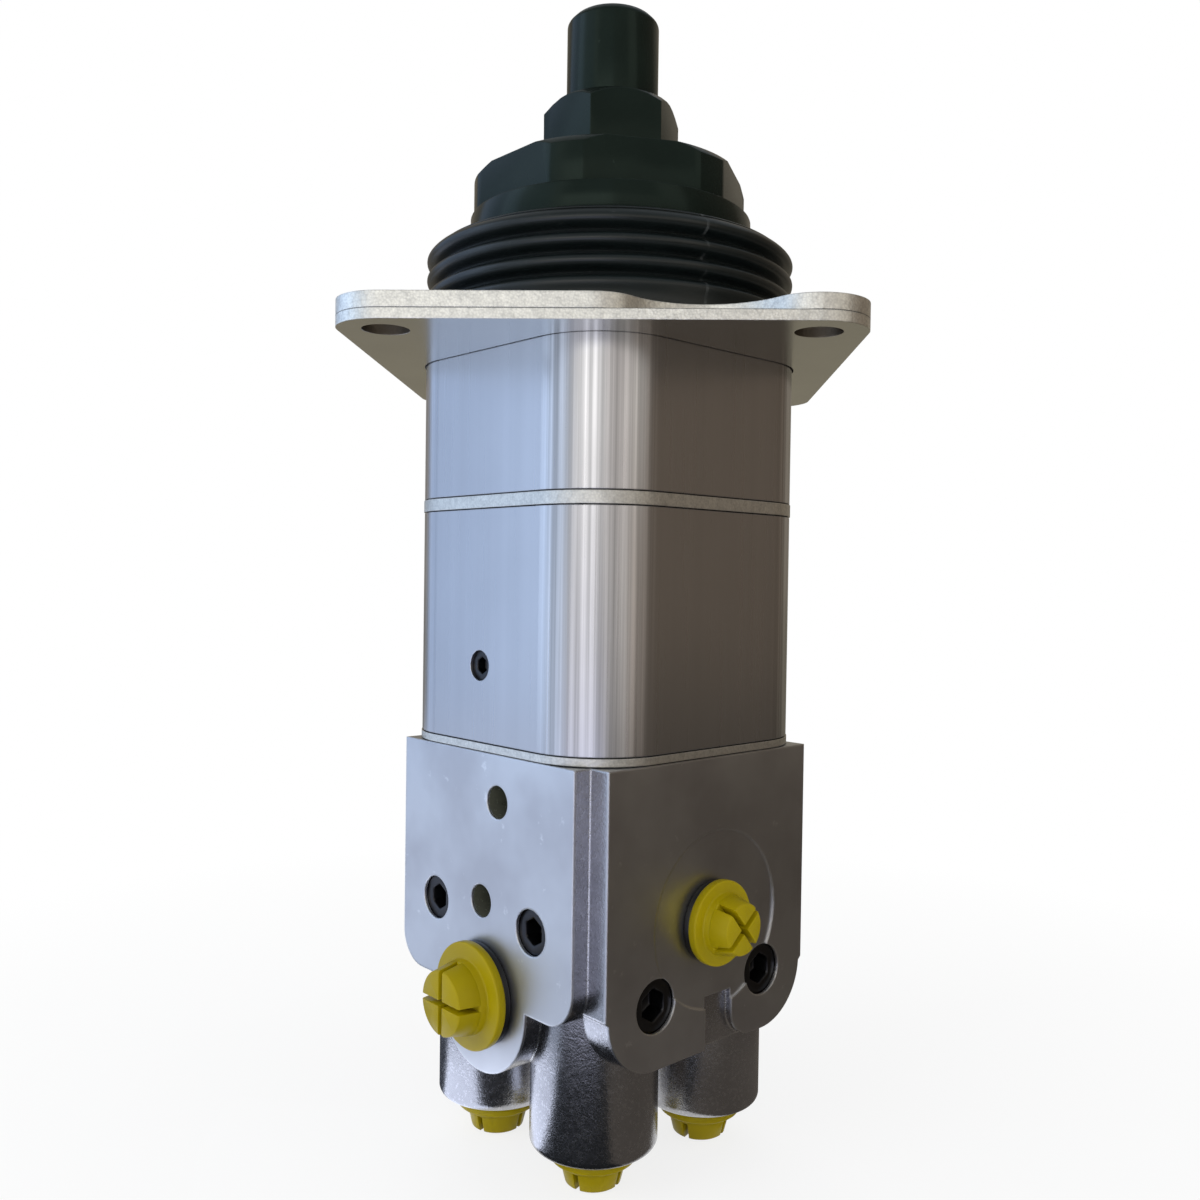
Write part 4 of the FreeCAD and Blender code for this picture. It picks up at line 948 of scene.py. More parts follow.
@dataclass(frozen=True)
class BlackCoat(Finish):
    """Black coating on turned steel: soft gloss, faint turning marks, a few chips and greyer edges."""

    chip_colour: Colour = (0.10, 0.13, 0.11, 1.0)
    speck_size: float = 300.0
    speck_spread: float = 0.31
    speck_share: float = 0.5
    cloud_size: float = 90.0
    cloud_contrast: float = 1.4
    cloud_shades: Pair = (0.7, 1.3)
    edge_share: float = 0.3
    line_gloss: Pair = (-0.03, 0.05)
    depth: float = 0.0000006
    specular: float = 0.17
    sheen: Colour = (0.72, 1.0, 0.88, 1.0)

    def dress(self, graph: Graph, shader: bpy.types.Node) -> None:
        """Add faint marks, chips and worn edges over the black.

        Args:
            graph: The material's tree.
            shader: Its Principled BSDF.
        """
        place = graph.place()
        marks = ToolMarks().use(graph, Vector=place, Stretch=Lay.LEVEL.value, Contrast=1.0)
        edge = self.edges(graph, place)
        tone = self.shades(graph, self.clouds(graph, place), self.cloud_shades)
        chipped = self.speckled(graph, place, tone, self.chip_colour)
        worn = graph.spread(edge.outputs["Mask"], 0.0, self.edge_share)
        graph.feed(shader.inputs["Base Color"], graph.blend(worn, chipped, self.chip_colour))
        graph.feed(shader.inputs["Roughness"], self.gloss(graph, marks.outputs["Lines"], self.line_gloss))
        shader.inputs["Specular IOR Level"].default_value = self.specular
        shader.inputs["Specular Tint"].default_value = self.sheen
        self.bump(graph, shader, marks.outputs["Lines"], self.depth, edge.outputs["Normal"])


@dataclass(frozen=True)
class MouldedRubber(Finish):
    """Moulded black rubber: soft gloss, a little dusty, with the line that its mould left."""

    specular: float = 0.4
    cloud_size: float = 70.0
    cloud_shades: Pair = (0.75, 1.35)
    cloud_gloss: Pair = (-0.06, 0.08)
    speck_size: float = 650.0
    speck_spread: float = 0.36
    speck_share: float = 0.1
    dust_colour: Colour = (0.2, 0.2, 0.2, 1.0)
    line_way: Triple = (0.5, -0.866, 0.0)
    line_width: float = 0.0003
    line_share: float = 0.22
    line_colour: Colour = (0.22, 0.23, 0.23, 1.0)
    pebble_grain: float = 2600.0
    pebble_depth: float = 0.00001

    def dress(self, graph: Graph, shader: bpy.types.Node) -> None:
        """Add dust, the mould line and a fine pebbled relief.

        Args:
            graph: The material's tree.
            shader: Its Principled BSDF.
        """
        place = graph.place()
        clouds = self.clouds(graph, place)
        line = MouldLine().use(graph, Vector=place, Way=self.line_way, Width=self.line_width)
        pebble = CastSkin().use(graph, Vector=place, Grain=self.pebble_grain)
        tone = self.shades(graph, clouds, self.cloud_shades)
        dusty = self.speckled(graph, place, tone, self.dust_colour)
        lined = graph.blend(graph.spread(line.outputs[0], 0.0, self.line_share), dusty, self.line_colour)
        graph.feed(shader.inputs["Base Color"], lined)
        graph.feed(shader.inputs["Roughness"], self.gloss(graph, clouds, self.cloud_gloss))
        shader.inputs["Specular IOR Level"].default_value = self.specular
        self.bump(graph, shader, pebble.outputs["Height"], self.pebble_depth)


@dataclass(frozen=True)
class MouldedPlastic(Finish):
    """Soft moulded plastic of a shipping cap: even, slightly see-through, with shallow flow marks."""

    specular: float = 0.16
    cloud_size: float = 140.0
    cloud_contrast: float = 1.2
    cloud_shades: Pair = (0.88, 1.08)
    cloud_gloss: Pair = (-0.05, 0.07)
    speck_size: float = 900.0
    speck_spread: float = 0.32
    dust_shade: float = 0.5
    depth: float = 0.00002
    glow_share: float = 0.2
    glow_reach: Triple = (1.0, 0.8, 0.1)
    glow_scale: float = 0.0012

    def dress(self, graph: Graph, shader: bpy.types.Node) -> None:
        """Let some light in, and vary colour and gloss slowly.

        Args:
            graph: The material's tree.
            shader: Its Principled BSDF.
        """
        place = graph.place()
        clouds = self.clouds(graph, place)
        tone = self.shades(graph, clouds, self.cloud_shades)
        dusty = self.speckled(graph, place, tone, self.shade(self.dust_shade))
        graph.feed(shader.inputs["Base Color"], dusty)
        graph.feed(shader.inputs["Roughness"], self.gloss(graph, clouds, self.cloud_gloss))
        shader.inputs["Specular IOR Level"].default_value = self.specular
        shader.inputs["Subsurface Weight"].default_value = self.glow_share
        shader.inputs["Subsurface Radius"].default_value = self.glow_reach
        shader.inputs["Subsurface Scale"].default_value = self.glow_scale
        self.bump(graph, shader, clouds, self.depth)


HOUSING = MilledHousing("machined_housing_finish", (0.50, 0.50, 0.52, 1.0), 0.27)
ZINC = ZincSheet("zinc_sheet_finish", (0.72, 0.72, 0.69, 1.0), 0.2)
DULL_ZINC = ZincSheet("dull_zinc_finish", (0.66, 0.66, 0.63, 1.0), 0.24, cut_colour=(0.74, 0.73, 0.68, 1.0))
CASTING = PlatedCasting("plated_casting_finish", (0.45, 0.45, 0.47, 1.0), 0.17, edge_radius=0.0006)
BLACK = BlackCoat("black_coating_finish", (0.006, 0.0095, 0.0075, 1.0), 0.2)
BOOT_RUBBER = MouldedRubber("boot_rubber_finish", (0.005, 0.008, 0.008, 1.0), 0.3, specular=0.42)
SEAL_RUBBER = MouldedRubber("seal_rubber_finish", (0.008, 0.008, 0.008, 1.0), 0.35, speck_share=0.05)
GASKET = MouldedRubber("gasket_sheet_finish", (0.02, 0.02, 0.022, 1.0), 0.6, speck_share=0.2)
YELLOW = MouldedPlastic("yellow_plastic_finish", (0.35, 0.27, 0.0005, 1.0), 0.36)
PLUG = MachinedMetal("plug_steel_finish", (0.05, 0.05, 0.053, 1.0), 0.32, lay=Lay.ROUND, depth=0.000008)
BRASS = MachinedMetal("guide_brass_finish", (0.72, 0.53, 0.24, 1.0), 0.25, lay=Lay.LEVEL)
STEEL = MachinedMetal("plated_steel_finish", (0.60, 0.60, 0.60, 1.0), 0.3, lay=Lay.LEVEL)
BRIGHT = MachinedMetal("bright_steel_finish", (0.70, 0.71, 0.73, 1.0), 0.16, lay=Lay.LEVEL, depth=0.000002)
SPRING = MachinedMetal("spring_steel_finish", (0.34, 0.35, 0.37, 1.0), 0.32, lay=Lay.ROUND)


# Mesh tools


class Form:
    """A mesh in the making, in millimetres."""

    # Points closer than this are one point.
    weld: float = 0.0005
    # Where Blender puts the first corner of a circle, in degrees about Z.
    circle_start: float = 90.0

    def __init__(self) -> None:
        """Start an empty mesh."""
        self.mesh = bmesh.new()

    def lathe(self, outline: Sequence[Pair], closed: bool = False, steps: int = 96) -> "Form":
        """Spin an outline about Z.

        Args:
            outline: Points of radius and height. An open one starts and ends on the axis.
            closed: Whether the last point joins the first, which makes a ring.
            steps: Faces round the axis.

        Returns:
            This form.
        """
        ends = [self.mesh.verts.new((radius, 0.0, height)) for radius, height in outline]
        following = ends[1:] + ends[:1] if closed else ends[1:]
        edges = [self.mesh.edges.new(pair) for pair in zip(ends, following)]
        bmesh.ops.spin(
            self.mesh, geom=ends + edges, cent=ORIGIN, axis=AXIS, dvec=ORIGIN,
            angle=math.tau, steps=steps, use_merge=True,
        )
        bmesh.ops.remove_doubles(self.mesh, verts=self.mesh.verts[:], dist=self.weld)
        bmesh.ops.dissolve_degenerate(self.mesh, edges=self.mesh.edges[:], dist=self.weld)
        return self.outwards()

    def prism(self, corners: int, radius: float, low: float, high: float, turn: float = 0.0) -> "Form":
        """Add an upright prism.

        Args:
            corners: Number of its sides.
            radius: Distance of its corners from the axis.
            low: Height of its foot.
            high: Height of its top.
            turn: Direction of its first corner, in degrees.

        Returns:
            This form.
        """
        about = Matrix.Rotation(math.radians(turn - self.circle_start), 4, "Z")
        place = Matrix.Translation((0.0, 0.0, low)) @ about
        base = bmesh.ops.create_circle(
            self.mesh, cap_ends=True, segments=corners, radius=radius, matrix=place,
        )["verts"]
        faces = list({face for corner in base for face in corner.link_faces})
        grown = bmesh.ops.extrude_face_region(self.mesh, geom=faces, use_keep_orig=True)
        tops = [item for item in grown["geom"] if isinstance(item, bmesh.types.BMVert)]
        bmesh.ops.translate(self.mesh, verts=tops, vec=(0.0, 0.0, high - low))
        return self.outwards()

    def shave(self, point: Triple, normal: Triple) -> "Form":
        """Cut off what lies beyond a plane, and close the cut.

        Args:
            point: A point on the plane.
            normal: The way to the side that goes.

        Returns:
            This form.
        """
        everything = self.mesh.verts[:] + self.mesh.edges[:] + self.mesh.faces[:]
        cut = bmesh.ops.bisect_plane(
            self.mesh, geom=everything, plane_co=point, plane_no=normal, clear_outer=True,
        )
        rim = [item for item in cut["geom_cut"] if isinstance(item, bmesh.types.BMEdge)]
        if rim:
            bmesh.ops.holes_fill(self.mesh, edges=rim, sides=0)
        return self

    def cone_off(self, radius: float, top: float, cuts: int = 36) -> "Form":
        """Take off the top corners by a cone at 45 degrees.

        Args:
            radius: The cone's radius at the top.
            top: Height of the top.
            cuts: Number of planes that make the cone.

        Returns:
            This form.
        """
        for number in range(cuts):
            turn = math.tau * number / cuts
            way = (math.cos(turn), math.sin(turn), 1.0)
            self.shave((radius * math.cos(turn), radius * math.sin(turn), top), way)
        return self

    def soften(self, width: float, segments: int = 2, least: float = 32.0) -> "Form":
        """Round every edge that turns more than an angle.

        Args:
            width: Width of the rounding.
            segments: Faces across it.
            least: The smallest angle that is rounded, in degrees.

        Returns:
            This form.
        """
        sharp = [
            edge for edge in self.mesh.edges
            if len(edge.link_faces) == 2 and edge.calc_face_angle(0.0) > math.radians(least)
        ]
        bmesh.ops.bevel(
            self.mesh, geom=sharp, offset=width, offset_type="OFFSET", segments=segments, profile=0.5,
            affect="EDGES", clamp_overlap=True, material=-1,
        )
        return self

    def outwards(self) -> "Form":
        """Turn all faces outwards."""
        bmesh.ops.recalc_face_normals(self.mesh, faces=self.mesh.faces[:])
        return self

    def add(self, other: "Form") -> "Form":
        """Put another form's shape beside this one's.

        Args:
            other: The form that is added and used up.

        Returns:
            This form.
        """
        data = bpy.data.meshes.new("part")
        other.mesh.to_mesh(data)
        other.mesh.free()
        self.mesh.from_mesh(data)
        bpy.data.meshes.remove(data)
        return self

    def repeat(self, places: Iterable[Matrix]) -> "Form":
        """Stand copies of the form at other places.

        Args:
            places: Where each copy goes. The form itself is one of them only if it is named.

        Returns:
            A new form with all the copies.
        """
        data = bpy.data.meshes.new("pattern")
        self.mesh.to_mesh(data)
        self.mesh.free()
        whole = Form()
        for place in places:
            before = len(whole.mesh.verts)
            whole.mesh.from_mesh(data)
            whole.mesh.verts.ensure_lookup_table()
            bmesh.ops.transform(whole.mesh, matrix=place, verts=whole.mesh.verts[before:])
        bpy.data.meshes.remove(data)
        return whole

    def piece(
        self, name: str, finish: Finish, slot: str, stands_for: Sequence[str], body: str = "",
        crease: float = 34.0,
    ) -> bpy.types.Object:
        """Make the form an object of the scene.

        Args:
            name: The piece's name.
            finish: Its finish.
            slot: The name of a material slot; it is not used.
            stands_for: The CAD nodes that it replaces.
            body: The CAD body that it rides on, if it rides on one.
            crease: Edges that turn more than this many degrees stay sharp in shading.

        Returns:
            The new object.
        """
        self.mesh.transform(Matrix.Scale(MM, 4))
        self.outwards()
        data = bpy.data.meshes.new(name)
        self.mesh.to_mesh(data)
        self.mesh.free()
        data.shade_smooth()
        data.set_sharp_from_angle(angle=math.radians(crease))
        data.materials.append(finish.material())
        made = bpy.data.objects.new(name, data)
        bpy.context.scene.collection.objects.link(made)
        if stands_for:
            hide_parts(*stands_for)
        if body:
            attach(made, body)
        LOG.info("piece %s: %d faces", name, len(data.polygons))
        return made


def face_towards(spot: Vector, way: Vector, aside: Vector) -> Matrix:
    """Give the place of a form that was drawn with its foot at the origin and its top up.

    Args:
        spot: Where its foot goes, in millimetres.
        way: Where its top points.
        aside: Where its own X points.

    Returns:
        The place as a matrix.
    """
    third = way.cross(aside)
    turn = Matrix((aside, third, way)).transposed().to_4x4()
    return Matrix.Translation(spot) @ turn


# Sub-assemblies


@dataclass
class CadDress:
    """Finishes for the CAD nodes whose own shape stays."""

    finishes: dict[str, Finish] = field(default_factory=dict)

    def build(self) -> None:
        """Give each node its finish."""
        for name, finish in self.finishes.items():
            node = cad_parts[name]
            if not node.material_slots:
                node.data.materials.append(finish.material())
            for holder in node.material_slots:
                holder.material = finish.material()
            LOG.info("node %s takes %s", name, finish.name)


@dataclass
class ValveBody:
    """Flange plates, housings, plates, gaskets and the port block: CAD shapes with their finishes."""

    flanges: tuple[str, ...] = ("mounting_flange_lower", "mounting_flange_upper")
    plates: tuple[str, ...] = ("middle_plate", "bottom_plate")
    housings: tuple[str, ...] = ("upper_housing", "lower_housing")
    gaskets: tuple[str, ...] = ("middle_plate_gaskets", "bottom_plate_gaskets")

    def build(self) -> None:
        """Dress the stack from the flange down."""
        finishes: dict[str, Finish] = {"port_block": CASTING}
        finishes |= {name: ZINC for name in self.flanges}
        finishes |= {name: DULL_ZINC for name in self.plates}
        finishes |= {name: HOUSING for name in self.housings}
        finishes |= {name: GASKET for name in self.gaskets}
        CadDress(finishes).build()


@dataclass
class CoilSprings:
    """The round-wire springs of one kind, one under each side of the disc, with closed ends.
    """

    name: str
    low: float
    high: float
    radius: float
    wire: float
    turns: float
    still: float
    closed_lift: float = 1.08
    ring: float = 22.415
    sides: int = 8
    steps: int = 16

    def coil(self) -> Form:
        """Wind the wire: a closed turn, the working turns and another closed turn.

        Returns:
            One spring, with its axis on Z.
        """
        form = Form()
        half = self.wire / 2.0
        upright = Matrix.Rotation(math.pi / 2.0, 4, "X")
        place = Matrix.Translation((self.radius, 0.0, self.low + half)) @ upright
        start = bmesh.ops.create_circle(
            form.mesh, cap_ends=False, segments=self.sides, radius=half, matrix=place,
        )["verts"]
        ends = list(start) + list({edge for corner in start for edge in corner.link_edges})
        lift = self.wire * self.closed_lift
        rise = self.high - self.low - self.wire - 2.0 * lift
        for turns, climb in ((1.0, lift), (self.turns, rise), (1.0, lift)):
            steps = round(self.steps * turns)
            wound = bmesh.ops.spin(
                form.mesh, geom=ends, cent=ORIGIN, axis=AXIS, dvec=(0.0, 0.0, climb / steps),
                angle=math.tau * turns, steps=steps, use_merge=False,
            )
            ends = wound["geom_last"]
        open_edges = [edge for edge in form.mesh.edges if edge.is_boundary]
        bmesh.ops.holes_fill(form.mesh, edges=open_edges, sides=0)
        return form.outwards()

    def build(self) -> None:
        """Stand a spring under each side."""
        for side in Side:
            x, y = (way * self.ring for way in side.value)
            word = side.name.lower()
            node = f"{self.name}_{word}"
            spring = self.coil().repeat([Matrix.Translation((x, y, 0.0))])
            made = spring.piece(f"{node}_wire", SPRING, "spring_steel", [node])
            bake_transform(made)


@dataclass
class PilotWorks:
    """Plungers, seats, spools, springs and the universal joint, all inside."""

    joint: tuple[str, ...] = ("retainer_plate", "joint_pedestal", "joint_cross", "joint_yoke")
    springs: tuple[CoilSprings, ...] = ()

    def build(self) -> None:
        """Dress what the lever moves and what guides it, and wind the springs."""
        finishes: dict[str, Finish] = {name: STEEL for name in self.joint}
        finishes |= {"joint_pins": BRIGHT, "plunger_guides": BRASS}
        finishes |= {"plunger_seals": SEAL_RUBBER, "tie_screws": PLUG}
        for side in Side:
            name = side.name.lower()
            finishes |= {f"plunger_{name}": BRIGHT, f"spool_{name}": BRIGHT, f"spring_seat_{name}": STEEL}
        CadDress(finishes).build()
        for springs in self.springs:
            springs.build()


@dataclass
class LeverHead:
    """The black disc, the lock nut and the stub that the lever is clamped to."""

    face_height: float = 21.2
    hub_height: float = 23.5
    neck_height: float = 23.6
    rim_foot: float = 26.2
    rim_top: float = 31.5
    disc_top: float = 40.8
    nut_top: float = 56.7
    hub_radius: float = 10.55
    face_radius: float = 26.5
    neck_radius: float = 25.0
    rim_radius: float = 30.5
    rim_edge: float = 0.25
    head_radius: float = 29.8
    head_bevel: float = 1.6
    head_edge: float = 0.35
    head_sharp: float = 24.0
    head_steps: int = 120
    flats: int = 6
    disc_flats: float = 54.6
    nut_flats: float = 26.2
    nut_cone: float = 0.2
    nut_edge: float = 0.22
    nut_sharp: float = 28.0
    first_corner: float = -105.0
    stud_radius: float = 5.0
    stub_radius: float = 10.0
    stub_bevel: float = 1.5
    stub_edge: float = 0.45
    skin: float = 0.02
    crease: float = 26.0

    def rim(self) -> Form:
        """Turn the disc's rim with the hub, the face that presses the plungers and the groove.

        Returns:
            The rim as a ring round the stud.
        """
        stud = self.stud_radius
        return Form().lathe([
            (stud, self.hub_height), (self.hub_radius, self.hub_height), (self.hub_radius, self.face_height),
            (self.face_radius, self.face_height), (self.face_radius, self.neck_height),
            (self.neck_radius, self.neck_height), (self.neck_radius, self.rim_foot),
            (self.rim_radius, self.rim_foot), (self.rim_radius, self.rim_top), (stud, self.rim_top),
        ], closed=True).soften(self.rim_edge)

    def disc(self) -> Form:
        """Stand the flatted head on the rim.

        Returns:
            The whole disc.
        """
        foot = self.rim_top - self.skin
        head = Form().lathe([
            (0.0, foot), (self.head_radius, foot), (self.head_radius, self.disc_top - self.head_bevel),
            (self.head_radius - self.head_bevel, self.disc_top), (0.0, self.disc_top),
        ], steps=self.head_steps)
        reach = self.disc_flats / 2.0
        for number in range(self.flats):
            turn = math.radians(self.first_corner) + math.tau * (number + 0.5) / self.flats
            way = (math.cos(turn), math.sin(turn), 0.0)
            head.shave((way[0] * reach, way[1] * reach, 0.0), way)
        return self.rim().add(head.soften(self.head_edge, least=self.head_sharp))

    def nut(self) -> Form:
        """Cut the lock nut from a hexagon and cone off its corners.

        Returns:
            The nut.
        """
        corner = self.nut_flats / math.sqrt(3.0)
        form = Form().prism(self.flats, corner, self.disc_top, self.nut_top, self.first_corner)
        form.cone_off(self.nut_flats / 2.0 - self.nut_cone, self.nut_top)
        return form.soften(self.nut_edge, least=self.nut_sharp)

    def stub(self) -> Form:
        """Turn the stub with its bevelled end.

        Returns:
            The stub.
        """
        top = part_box("lever_stub")[1].z / MM
        return Form().lathe([
            (0.0, self.nut_top), (self.stub_radius, self.nut_top), (self.stub_radius, top - self.stub_bevel),
            (self.stub_radius - self.stub_bevel, top), (0.0, top),
        ]).soften(self.stub_edge, segments=3)

    def build(self) -> None:
        """Make the three pieces on the lever."""
        slot = "black_coating"
        self.disc().piece("disc_with_flats", BLACK, slot, ["actuating_disc"], "lever", self.crease)
        self.nut().piece("hexagon_lock_nut", BLACK, slot, ["lock_nut"], "lever", self.crease)
        self.stub().piece("turned_lever_stub", BLACK, slot, ["lever_stub"], "lever")


@dataclass
class Bellows:
    """The rubber boot: a foot under the retainer's edge, rolled folds, and a top drawn in under the disc.

    An outline is a row of points of radius and height.
    """

    first_crest: float = 9.5
    pitch: float = 4.0
    folds: int = 4
    crest_radius: float = 39.8
    root_radius: float = 36.8
    crest_step: Pair = (0.3, 0.8)
    flank_step: float = 1.4
    wall: float = 1.2
    foot_outline: tuple[Pair, ...] = ((38.5, 5.0), (38.9, 5.5), (38.9, 7.2), (39.2, 8.2))
    shoulder: tuple[Pair, ...] = ((38.1, 23.45), (36.9, 23.45))
    bead_outline: tuple[Pair, ...] = (
        (37.2, 7.9), (36.1, 7.4), (36.1, 6.9), (35.1, 6.85), (35.1, 5.95), (36.1, 5.9), (36.1, 5.0),
    )
    top_outline: tuple[Pair, ...] = (
        (38.1, 23.45), (36.9, 24.2), (35.0, 24.8), (33.0, 25.35), (31.0, 25.9), (28.0, 26.1), (25.1, 26.1),
        (25.1, 24.9), (28.0, 24.9), (31.0, 24.7), (33.5, 24.0), (36.2, 23.35),
    )
    skirt_bend: Pair = (7.8, 21.45)
    top_bend: Pair = (23.5, 25.85)
    steps: int = 72
    smoothness: int = 2
    crease: float = 80.0

    def fold_line(self, inset: float) -> list[Pair]:
        """Follow the folds upwards.

        Args:
            inset: How far inside the outer surface the line runs.

        Returns:
            Points of radius and height: three on each crest, and three between two crests.
        """
        crest, root = self.crest_radius - inset, self.root_radius - inset
        middle = (crest + root) / 2.0
        back, rise = self.crest_step
        line = []
        for number in range(self.folds):
            height = self.first_crest + self.pitch * number
            line += [(crest - back, height - rise), (crest, height), (crest - back, height + rise)]
            if number < self.folds - 1:
                line.append((middle, height + self.flank_step))
                line.append((root, height + self.pitch / 2.0))
                line.append((middle, height + self.pitch - self.flank_step))
        return line

    def skirt(self) -> Form:
        """Make the part from the foot to the shoulder.

        Returns:
            The part as a ring of one wall's thickness.
        """
        outer = [*self.foot_outline, *self.fold_line(0.0)]
        inner = [*reversed(self.fold_line(self.wall)), *self.bead_outline]
        return Form().lathe([*outer, *self.shoulder, *inner], closed=True, steps=self.steps)

    def build(self) -> None:
        """Make both parts."""
        drawn_in = Form().lathe(self.top_outline, closed=True, steps=self.steps)
        skirt = self.skirt().piece("boot_skirt", BOOT_RUBBER, "boot_rubber", ["boot"], crease=self.crease)
        top = drawn_in.piece("boot_top", BOOT_RUBBER, "boot_rubber", ["boot"], crease=self.crease)
        for made in (skirt, top):
            smooth = made.modifiers.new("smooth", "SUBSURF")
            smooth.levels = self.smoothness
            smooth.render_levels = self.smoothness
        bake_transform(skirt)
        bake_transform(top)


@dataclass
class ShippingCap:
    """A yellow plastic cap: a hollow shank, a round flange and a knob with cross slots, over a black ring."""

    name: str
    places: list[Matrix]
    cap_nodes: list[str]
    seal_nodes: list[str]
    port_radius: float
    flange: float
    thick: float
    knob: float
    high: float
    shank: float
    seal: float = 1.5
    seal_inset: float = 0.3
    seal_edge: float = 0.45
    slot: float = 1.2
    slot_share: float = 0.7
    draft: float = 0.9
    crown: Pair = (0.35, 0.25)
    knob_edge: float = 0.28
    knob_foot: float = 0.3
    knob_step: float = 0.15
    shank_wall: float = 1.45
    shank_play: float = 0.05
    cap_edge: float = 0.4
    sharp: float = 40.0
    steps: int = 80
    knob_steps: int = 64
    crease: float = 40.0

    def quarter(self) -> Form:
        """Cut one of the knob's four quarters, between two slots.

        Returns:
            The quarter towards +X and +Y.
        """
        top = self.seal + self.thick + self.high
        foot = top - self.high * self.slot_share - self.knob_foot
        lip = self.knob - self.draft
        back, fall = self.crown
        form = Form().lathe([
            (0.0, foot), (self.knob, foot), (lip, top - fall), (lip - back, top), (0.0, top),
        ], steps=self.knob_steps)
        half = self.slot / 2.0
        form.shave((half, 0.0, 0.0), (-1.0, 0.0, 0.0)).shave((0.0, half, 0.0), (0.0, -1.0, 0.0))
        return form.soften(self.knob_edge, least=self.sharp)

    def cap(self) -> Form:
        """Join the shank and flange with the four quarters of the knob.

        Returns:
            One cap, with its port's face at height 0.
        """
        foot = self.seal + self.thick
        floor = foot + self.high * (1.0 - self.slot_share)
        outer = self.port_radius - self.shank_play
        inner = outer - self.shank_wall
        form = Form().lathe([
            (0.0, foot), (inner, foot), (inner, -self.shank), (outer, -self.shank), (outer, self.seal),
            (self.flange, self.seal), (self.flange, foot), (self.knob + self.knob_step, foot),
            (self.knob, floor), (0.0, floor),
        ], steps=self.steps).soften(self.cap_edge, segments=3, least=self.sharp)
        turns = [Matrix.Rotation(math.tau * number / 4, 4, "Z") for number in range(4)]
        return form.add(self.quarter().repeat(turns))

    def ring(self) -> Form:
        """Turn the black ring behind the cap's flange.

        Returns:
            The ring, on the port's face at height 0.
        """
        outer = self.flange - self.seal_inset
        return Form().lathe([
            (self.port_radius, 0.0), (outer, 0.0), (outer, self.seal), (self.port_radius, self.seal),
        ], closed=True, steps=self.steps).soften(self.seal_edge, segments=3)

    def build(self) -> None:
        """Make the caps of this size and their rings."""
        body = "valve_body"
        caps = self.cap().repeat(self.places)
        caps.piece(f"{self.name}_slotted_caps", YELLOW, "yellow_plastic", self.cap_nodes, body, self.crease)
        rings = self.ring().repeat(self.places)
        rings.piece(f"{self.name}_cap_rings", SEAL_RUBBER, "seal_rubber", self.seal_nodes, body)


@dataclass
class SocketScrews:
    """Short screwed plugs with a hexagon socket, sunk in a face."""

    name: str
    node: str
    pad: Pad
    spots: list[Pair]
    radius: float
    across: float
    long: float
    sunk: float
    socket: float
    face: float = 33.0
    bevel: float = 0.45
    sharp: float = 50.0
    rim_sides: int = 48
    socket_sides: int = 6

    def plug(self) -> Form:
        """Bridge a round rim to a hexagon, and draw the wall and the socket down from it.

        Returns:
            One plug, with its outer face at height 0.
        """
        form = Form()
        mesh = form.mesh
        corner = self.across / math.sqrt(3.0)
        rings = ((self.rim_sides, self.radius), (self.socket_sides, corner))
        loops = []
        for sides, radius in rings:
            ring = bmesh.ops.create_circle(mesh, cap_ends=False, segments=sides, radius=radius)["verts"]
            loops.append({edge for vert in ring for edge in vert.link_edges})
        bmesh.ops.bridge_loops(mesh, edges=list(loops[0] | loops[1]))
        for loop, depth in ((loops[0], self.long), (loops[1], self.socket)):
            drawn = bmesh.ops.extrude_edge_only(mesh, edges=list(loop))["geom"]
            ends = {item for item in drawn if isinstance(item, bmesh.types.BMVert)}
            bmesh.ops.translate(mesh, verts=list(ends), vec=(0.0, 0.0, -depth))
            edges = [item for item in drawn if isinstance(item, bmesh.types.BMEdge)]
            bmesh.ops.edgeloop_fill(mesh, edges=[edge for edge in edges if set(edge.verts) <= ends])
        return form.outwards().soften(self.bevel, least=self.sharp)

    def build(self) -> None:
        """Set the plugs in their face."""
        way, aside = self.pad.outwards(), self.pad.aside()
        places = []
        for across, height in self.spots:
            spot = way * (self.face - self.sunk) + aside * across + Vector((0.0, 0.0, height))
            places.append(face_towards(spot, way, aside))
        self.plug().repeat(places).piece(self.name, PLUG, "plug_steel", [self.node], "valve_body")


# Studio


@dataclass(frozen=True)
class Softbox:
    """A soft lamp that looks at the valve's middle."""

    name: str
    spot: Triple
    size: float
    power: float
    colour: Triple = (1.0, 1.0, 1.0)

    def build(self, aim: Vector) -> None:
        """Hang the lamp.

        Args:
            aim: The point that it lights.
        """
        data = bpy.data.lights.new(self.name, "AREA")
        data.shape = "SQUARE"
        data.size = self.size
        data.energy = self.power
        data.color = self.colour
        lamp = bpy.data.objects.new(self.name, data)
        lamp.visible_glossy = False
        lamp.location = self.spot
        lamp.rotation_euler = (aim - Vector(self.spot)).to_track_quat("-Z", "Y").to_euler()
        bpy.context.scene.collection.objects.link(lamp)


